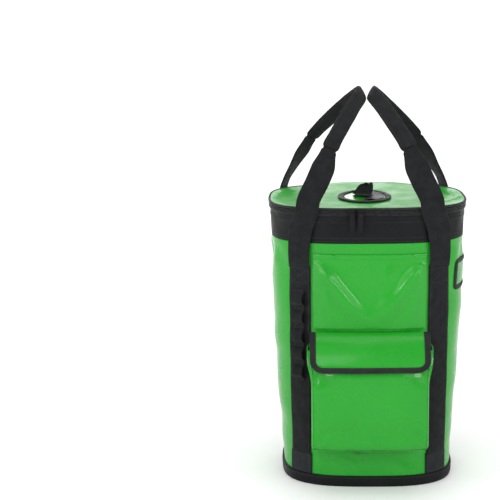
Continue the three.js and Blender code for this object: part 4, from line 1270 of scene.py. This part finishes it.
# ------------------------------------------------------------------ back panel, haul loop and shoulder straps
PANEL_LOW, PANEL_HIGH = 24, 380


def panel_crown(a, b):
    """The back panel is crowned, with one crease low down."""
    height = PANEL_HIGH - PANEL_LOW
    edge = min(a, 1 - a) * 2 * BACK_HALF
    ends = min(b, 1 - b) * height
    crease = bump(b * height, 42 + 8 * (2 * a - 1) ** 2, 5)
    return 2.3 * smooth(min(edge, ends), 0, 16) - 1.6 * crease * smooth(edge, 0, 14)


def make_back():
    panel = sewn("back_panel_skin", TARPAULIN, ["back_panel"], with_edges(PANEL_LOW, PANEL_HIGH, 60),
                 lambda z: back_columns(z, BACK_HALF, 44), LAYER, 1.7, 0.8, panel_crown)
    for side in (-1, 1):
        path = []
        for z in spread(30, 374, 12):
            middle = HALF_AROUND * wall_scale(z)
            path.append((z, middle + side * (middle - distance_at(z, BACK_HALF - 4, True))))
        stitch_wall(path, LAYER + 1.9)
    sewn("strap_band_web", WEB, ["shoulder_strap_band"], with_edges(382, 418, 8),
         lambda z: back_columns(z, BACK_HALF, 40), LAYER, 1.8, 0.6)
    for z in (385, 415):
        middle, reach = HALF_AROUND * wall_scale(z), 80
        stitch_wall([(z, middle - reach), (z, middle + reach)], LAYER + 1.85)

    stops = [((40, 142.9, 431), (1, 0, 0), NARROW), ((39.5, 143.4, 445), (0.98, 0, 0.2), NARROW),
             ((28, 151, 461), (0.65, -0.1, 0.75), NARROW), ((0, 160, 468), (0, -0.3, 0.95), NARROW),
             ((-28, 151, 461), (-0.65, -0.1, 0.75), NARROW), ((-39.5, 143.4, 445), (-0.98, 0, 0.2), NARROW),
             ((-40, 142.9, 431), (-1, 0, 0), NARROW)]
    web_piece("haul_web", NARROW_WEB, "haul", ["haul_loop"], stops, 90, 2.2, 0.5)


PAD_LINE = (  # x, z and half width down the middle of the left pad
    (35, 420, 32), (35, 385, 32), (35, 345, 31), (45, 298, 31), (60, 252, 29), (74, 216, 25), (84, 192, 19),
)
PAD_LENGTH, PAD_ROWS, PAD_COLUMNS, PAD_EDGE = 236.0, 64, 25, PAD_NEAR_Y + 6.4
EDGE_MIDDLE = PAD_NEAR_Y + 6.3
PAD_EDGE_SECTION = (  # (inwards, outwards) of the folded tape
    (5.2, 3.2), (4.8, 4.3), (1.5, 4.3), (-2.5, 3.9), (-4.4, 2.6), (-5.1, 0), (-4.4, -2.6), (-2.5, -3.9),
    (1.5, -4.3), (4.8, -4.3), (5.2, -3.2), (4.4, 0),
)


def pad_frame(t):
    """The pad's middle, direction across and half width, a share of the way down."""
    points = [Vector((x, 0, z)) for x, z, _ in PAD_LINE]
    last = len(points) - 1
    p = catmull(points, t)
    d = (catmull(points, min(t + 1e-3, 1)) - catmull(points, max(t - 1e-3, 0))).normalized()
    i = min(int(t * last), last - 1)
    half = PAD_LINE[i][2] + (PAD_LINE[i + 1][2] - PAD_LINE[i][2]) * (t * last - i)
    return p, Vector((d.z, 0, -d.x)), half


def round_end(near_end, r):
    """How much narrower a strip with rounded ends is, at a distance from its end."""
    return r - math.sqrt(max(r * r - (r - near_end) ** 2, 0)) if near_end < r else 0


def pad_outline(inset, side):
    """Once round the pad, in x and z."""
    low, high = inset / PAD_LENGTH, 1 - inset / PAD_LENGTH
    ts = spread(low, high, 46)
    outline = []
    for direction in (1, -1):
        for t in ts[::direction]:
            p, w, half = pad_frame(t)
            reach = half - inset - round_end(min(t - low, high - t) * PAD_LENGTH, 12)
            p = p + w * (direction * reach)
            outline.append(Vector((side * p.x, 0, p.z)))
    return outline


def puff(piece, front, rear):
    """Fills a sewn pad by a short cloth simulation with its edge held.

    front and rear limit the movement, in millimetres.
    """
    scene = bpy.context.scene
    soft = bpy.data.objects.new("soft_copy", piece.data.copy())
    scene.collection.objects.link(soft)
    held = soft.vertex_groups.new(name="held")
    edge = [v.index for v in soft.data.vertices if abs(v.co.y - PAD_EDGE * MM) < 2.2 * MM]
    held.add(edge, 1.0, "REPLACE")
    cloth = soft.modifiers.new("cloth", "CLOTH")
    cloth.settings.vertex_group_mass = "held"
    cloth.settings.use_pressure = True
    cloth.settings.uniform_pressure_force = 4
    cloth.settings.quality = 6
    cloth.settings.effector_weights.gravity = 0
    for frame_number in range(1, 21):
        scene.frame_set(frame_number)
    result = soft.evaluated_get(bpy.context.evaluated_depsgraph_get()).data
    for mine, moved in zip(piece.data.vertices, result.vertices):
        shift = moved.co - mine.co
        most = (front if mine.co.y > PAD_EDGE * MM else rear) * MM
        if shift.length > 0:
            mine.co += shift * (most / math.hypot(shift.length, most))
    bpy.data.objects.remove(soft)
    scene.frame_set(1)


def make_pad(name, side, body):
    inset = PAD_BINDING - 1.5
    low, high = inset / PAD_LENGTH, 1 - inset / PAD_LENGTH
    front, rear = [], []
    for t in spread(low, high, PAD_ROWS):
        p, w, half = pad_frame(t)
        end = min(t - low, high - t) * PAD_LENGTH
        reach = half - inset - round_end(end, 8)
        row_far, row_near = [], []
        for a in spread(-1, 1, PAD_COLUMNS):
            q = p + w * (a * reach)
            crown = (1 - abs(a) ** 3.2) * smooth(end, -2, 16)
            quilt = 0.35 * rough((q.x, 0, q.z), 26, 1.9 + side)
            row_far.append(Vector((side * q.x, PAD_NEAR_Y + 8.2 + (3.9 + quilt) * crown, q.z)))
            row_near.append(Vector((side * q.x, PAD_NEAR_Y + 4.6 - 3.4 * crown, q.z)))
        front.append(row_far)
        rear.append(row_near)
    mesh = Mesh()
    mesh.sheet(front, rear, spread(0, 46, PAD_COLUMNS), spread(0, PAD_LENGTH, PAD_ROWS))
    pad = mesh.build(f"shoulder_pad_skin_{name}", TAUT, body, [f"shoulder_pad_{name}"])
    puff(pad, 3.5, 0.8)


def make_pad_edge(name, side, body):
    path = pad_outline(PAD_BINDING / 2, side)
    centre = sum(path, Vector()) / len(path)
    rings = []
    for k, p in enumerate(path):
        tangent = (path[(k + 1) % len(path)] - path[k - 1]).normalized()
        inward = Vector((-tangent.z, 0, tangent.x))
        if inward.dot(centre - p) < 0:
            inward = -inward
        rings.append([p + inward * reach + Vector((0, EDGE_MIDDLE + height, 0))
                      for reach, height in PAD_EDGE_SECTION])
    mesh = Mesh()
    mesh.sweep(rings, spread(0, 34, len(PAD_EDGE_SECTION) + 1), lengths_along(path, closed=True), closed=True)
    mesh.build(f"shoulder_edge_{name}", BINDING, body, [f"shoulder_binding_{name}"])
    mesh = Mesh()
    path = [p + Vector((0, EDGE_MIDDLE + 4.5, 0)) for p in pad_outline(PAD_BINDING - 2.2, side)]
    stitch_row(mesh, path + path[:1], [Vector((0, 1, 0))] * (len(path) + 1))
    mesh.build(f"shoulder_stitching_{name}", THREAD, body)


def make_wing(name, side):
    """A triangular tab, sewn to the back panel's edge."""
    tip = Vector((64, 0, 97))
    outer, inner = [], []
    for t in spread(0, 1, 10):
        edge = Vector((86, 0, 126)).lerp(Vector((86, 0, 51)), t)
        row, under = [], []
        for s in spread(0, 1, 8):
            p = tip.lerp(edge, 0.12 + 0.88 * s)
            panel = wall_frame(p.z, distance_at(p.z, p.x, True))[0].y
            y = panel + 5.8 + 6 * (1 - s) ** 1.5 + 0.5 * rough((p.x, 0, p.z), 14, 2.2)
            row.append(Vector((side * p.x, y + 0.8, p.z)))
            under.append(Vector((side * p.x, y - 0.8, p.z)))
        outer.append(row)
        inner.append(under)
    mesh = Mesh()
    mesh.sheet(outer, inner, spread(0, 30, 8), spread(0, 75, 10))
    mesh.build(f"wing_skin_{name}", TAUT, "bag", [f"anchor_wing_{name}"])


LOCK_ACROSS = (math.cos(LOCK_TILT), 0, math.sin(LOCK_TILT))
LOCK_DOWN = Vector((math.sin(LOCK_TILT), 0, -math.cos(LOCK_TILT)))
TONGUE_LINE = (  # how far up from the lock, and outwards
    (60, 0.1), (50, 0), (36, 0), (20, -0.4), (14.6, -3.4), (13.4, -7.0), (16.8, -8.6), (22, -8.4),
)
TAIL_LINE = (
    ((99.4, 152.6, 165.4), LOCK_ACROSS), ((98.8, 155.2, 163.6), LOCK_ACROSS),
    ((96.6, 158.4, 157.6), LOCK_ACROSS), ((93.6, 160.4, 148), LOCK_ACROSS),
    ((91, 160.6, 136), (0.95, 0.06, 0.22)),
    ((89.4, 159.2, 123), (0.97, 0.12, 0.1)), ((89, 157.4, 110), (0.98, 0.16, 0)),
    ((89.8, 156.6, 97), (0.98, 0.12, -0.06)),
)
LOWER_LINE = (
    ((67.5, 136.4, 84), (0.86, 0, -0.5)), ((72, 137.4, 96), (0.88, 0, -0.46)),
    ((79, 141.4, 113), (0.9, 0, -0.1)), ((86, 147, 131), (0.92, 0, 0.2)),
    ((90.6, 151.2, 143.0), LOCK_ACROSS), ((92, 154.4, 147), LOCK_ACROSS),
    ((93.4, 155.2, 150.6), LOCK_ACROSS), ((95, 151.6, 155), LOCK_ACROSS),
)


def make_shoulders():
    for name, side in SIDES:
        body = f"shoulder_{name}"
        make_pad(name, side, body)
        make_pad_edge(name, side, body)

        tongue = [(LOCK - LOCK_DOWN * up + Vector((0, out, 0)), LOCK_ACROSS) for up, out in TONGUE_LINE]
        lines = [mirror_stops([(p, w, NARROW) for p, w in line], -side)
                 for line in (tongue, TAIL_LINE, LOWER_LINE)]
        web_piece(f"tongue_web_{name}", NARROW_WEB, body, [f"strap_tongue_{name}"], lines[0], 40, 1.8)
        tail = web_piece(f"strap_tail_{name}", NARROW_WEB, body, [], lines[1], 54, 1.6, 0.8)
        length = lengths_along([f[0] for f in band_frames(lines[1], spread(0, 1, 54))])[-1]
        make_wing(name, side)
        web = web_piece(f"lower_web_{name}", NARROW_WEB, None, [f"lower_webbing_{name}"], lines[2], 48, 1.8)
        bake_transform(web)


# ------------------------------------------------------------------ the CAD nodes that stay as they are
HARD_PARTS = {"base_panel": COATED, "base_stiffener": BOARD, "rim_hoop": PLASTIC}
SMALL_PARTS = {"zip_slider": METAL, "zip_pull": METAL, "ladder_lock": PLASTIC}


def finish_hard_parts():
    parts = dict(HARD_PARTS)
    parts.update({f"{name}_{side}": material for name, material in SMALL_PARTS.items() for side, _ in SIDES})
    for name, material in parts.items():
        node = bpy.data.objects[name]
        node.data.materials.clear()
        node.data.materials.append(material)
        if name not in HARD_PARTS:
            edge = node.modifiers.new("edge", "BEVEL")
            edge.width = 0.0006
            edge.segments = 3


# ------------------------------------------------------------------ studio
FLOOR_RINGS, FLOOR_AROUND = (0.5, 1, 2, 4, 8, 16, 40, 120, 400), 48
AIM = Vector((0, 0, 0.32))
LIGHTS = (  # name, place, size in metres, and power
    ("left", (-2.0, -1.2, 0.95), (0.9, 1.5), 24),
    ("right", (1.9, -1.3, 1.05), (0.8, 1.4), 21),
    ("front", (-0.6, -2.2, 1.8), (1.1, 0.6), 8),
    ("sparkle_left", (-1.2, -2.1, 0.95), (0.3, 0.3), 6),
    ("sparkle_right", (1.1, -2.1, 1.05), (0.3, 0.3), 6),
    ("top", (0, 0.1, 2.4), (2.2, 2.0), 22),
    ("rear", (0.3, 2.3, 1.4), (2.2, 1.2), 27),
    ("sparkle_rear", (-1.0, 2.1, 1.05), (0.3, 0.3), 6),
)


def make_floor():
    """A white floor that runs far enough to meet the sky, and glows a little away from the bag."""
    data = bpy.data.meshes.new("floor")
    points = [(r * math.cos(turn(i, FLOOR_AROUND)), r * math.sin(turn(i, FLOOR_AROUND)), 0)
              for r in FLOOR_RINGS for i in range(FLOOR_AROUND)]
    faces = [list(range(FLOOR_AROUND))]
    for base in range(0, len(points) - FLOOR_AROUND, FLOOR_AROUND):
        for i in range(FLOOR_AROUND):
            a, b = base + i, base + (i + 1) % FLOOR_AROUND
            faces.append([a, a + FLOOR_AROUND, b + FLOOR_AROUND, b])
    data.from_pydata(points, [], faces)
    s = Shader("studio_floor", roughness=0.8, specular_ior_level=0.1)
    s.tint(s.noise(1.5, 2), (0.90, 0.90, 0.90), (0.92, 0.92, 0.92))
    away = s.node("ShaderNodeVectorMath", {"operation": "LENGTH"}, Vector=s.place).outputs["Value"]
    s.put(s.bsdf.inputs["Emission Color"], (1, 1, 1, 1))
    s.put(s.bsdf.inputs["Emission Strength"], s.remap(away, 0.7, 4.5, 0.0, 0.75))
    data.materials.append(s.material)
    floor = bpy.data.objects.new("floor", data)
    bpy.context.scene.collection.objects.link(floor)


def make_lights():
    for name, place, size, power in LIGHTS:
        data = bpy.data.lights.new(name, "AREA")
        data.shape = "RECTANGLE"
        data.size, data.size_y = size
        data.energy = power
        light = bpy.data.objects.new(name, data)
        light.location = place
        light.rotation_euler = (AIM - Vector(place)).to_track_quat("-Z", "Y").to_euler()
        bpy.context.scene.collection.objects.link(light)
    world = bpy.data.worlds.new("studio")
    world.use_nodes = True
    background = world.node_tree.nodes["Background"]
    background.inputs["Color"].default_value = (1, 1, 1, 1)
    background.inputs["Strength"].default_value = 0.5
    bpy.context.scene.world = world
    bpy.context.scene.view_settings.view_transform = "Standard"


make_body()
make_zip()
make_lid()
make_hinge_panel()
make_port_ring()
make_port_cover()
make_pull_tab()
make_sewn()
make_handles()
make_overlay()
make_pocket()
make_flap()
make_gear_loops()
make_card_window()
make_back()
make_shoulders()
bag_stitches.build("bag_stitching", THREAD, "bag")
finish_hard_parts()
make_floor()
make_lights()
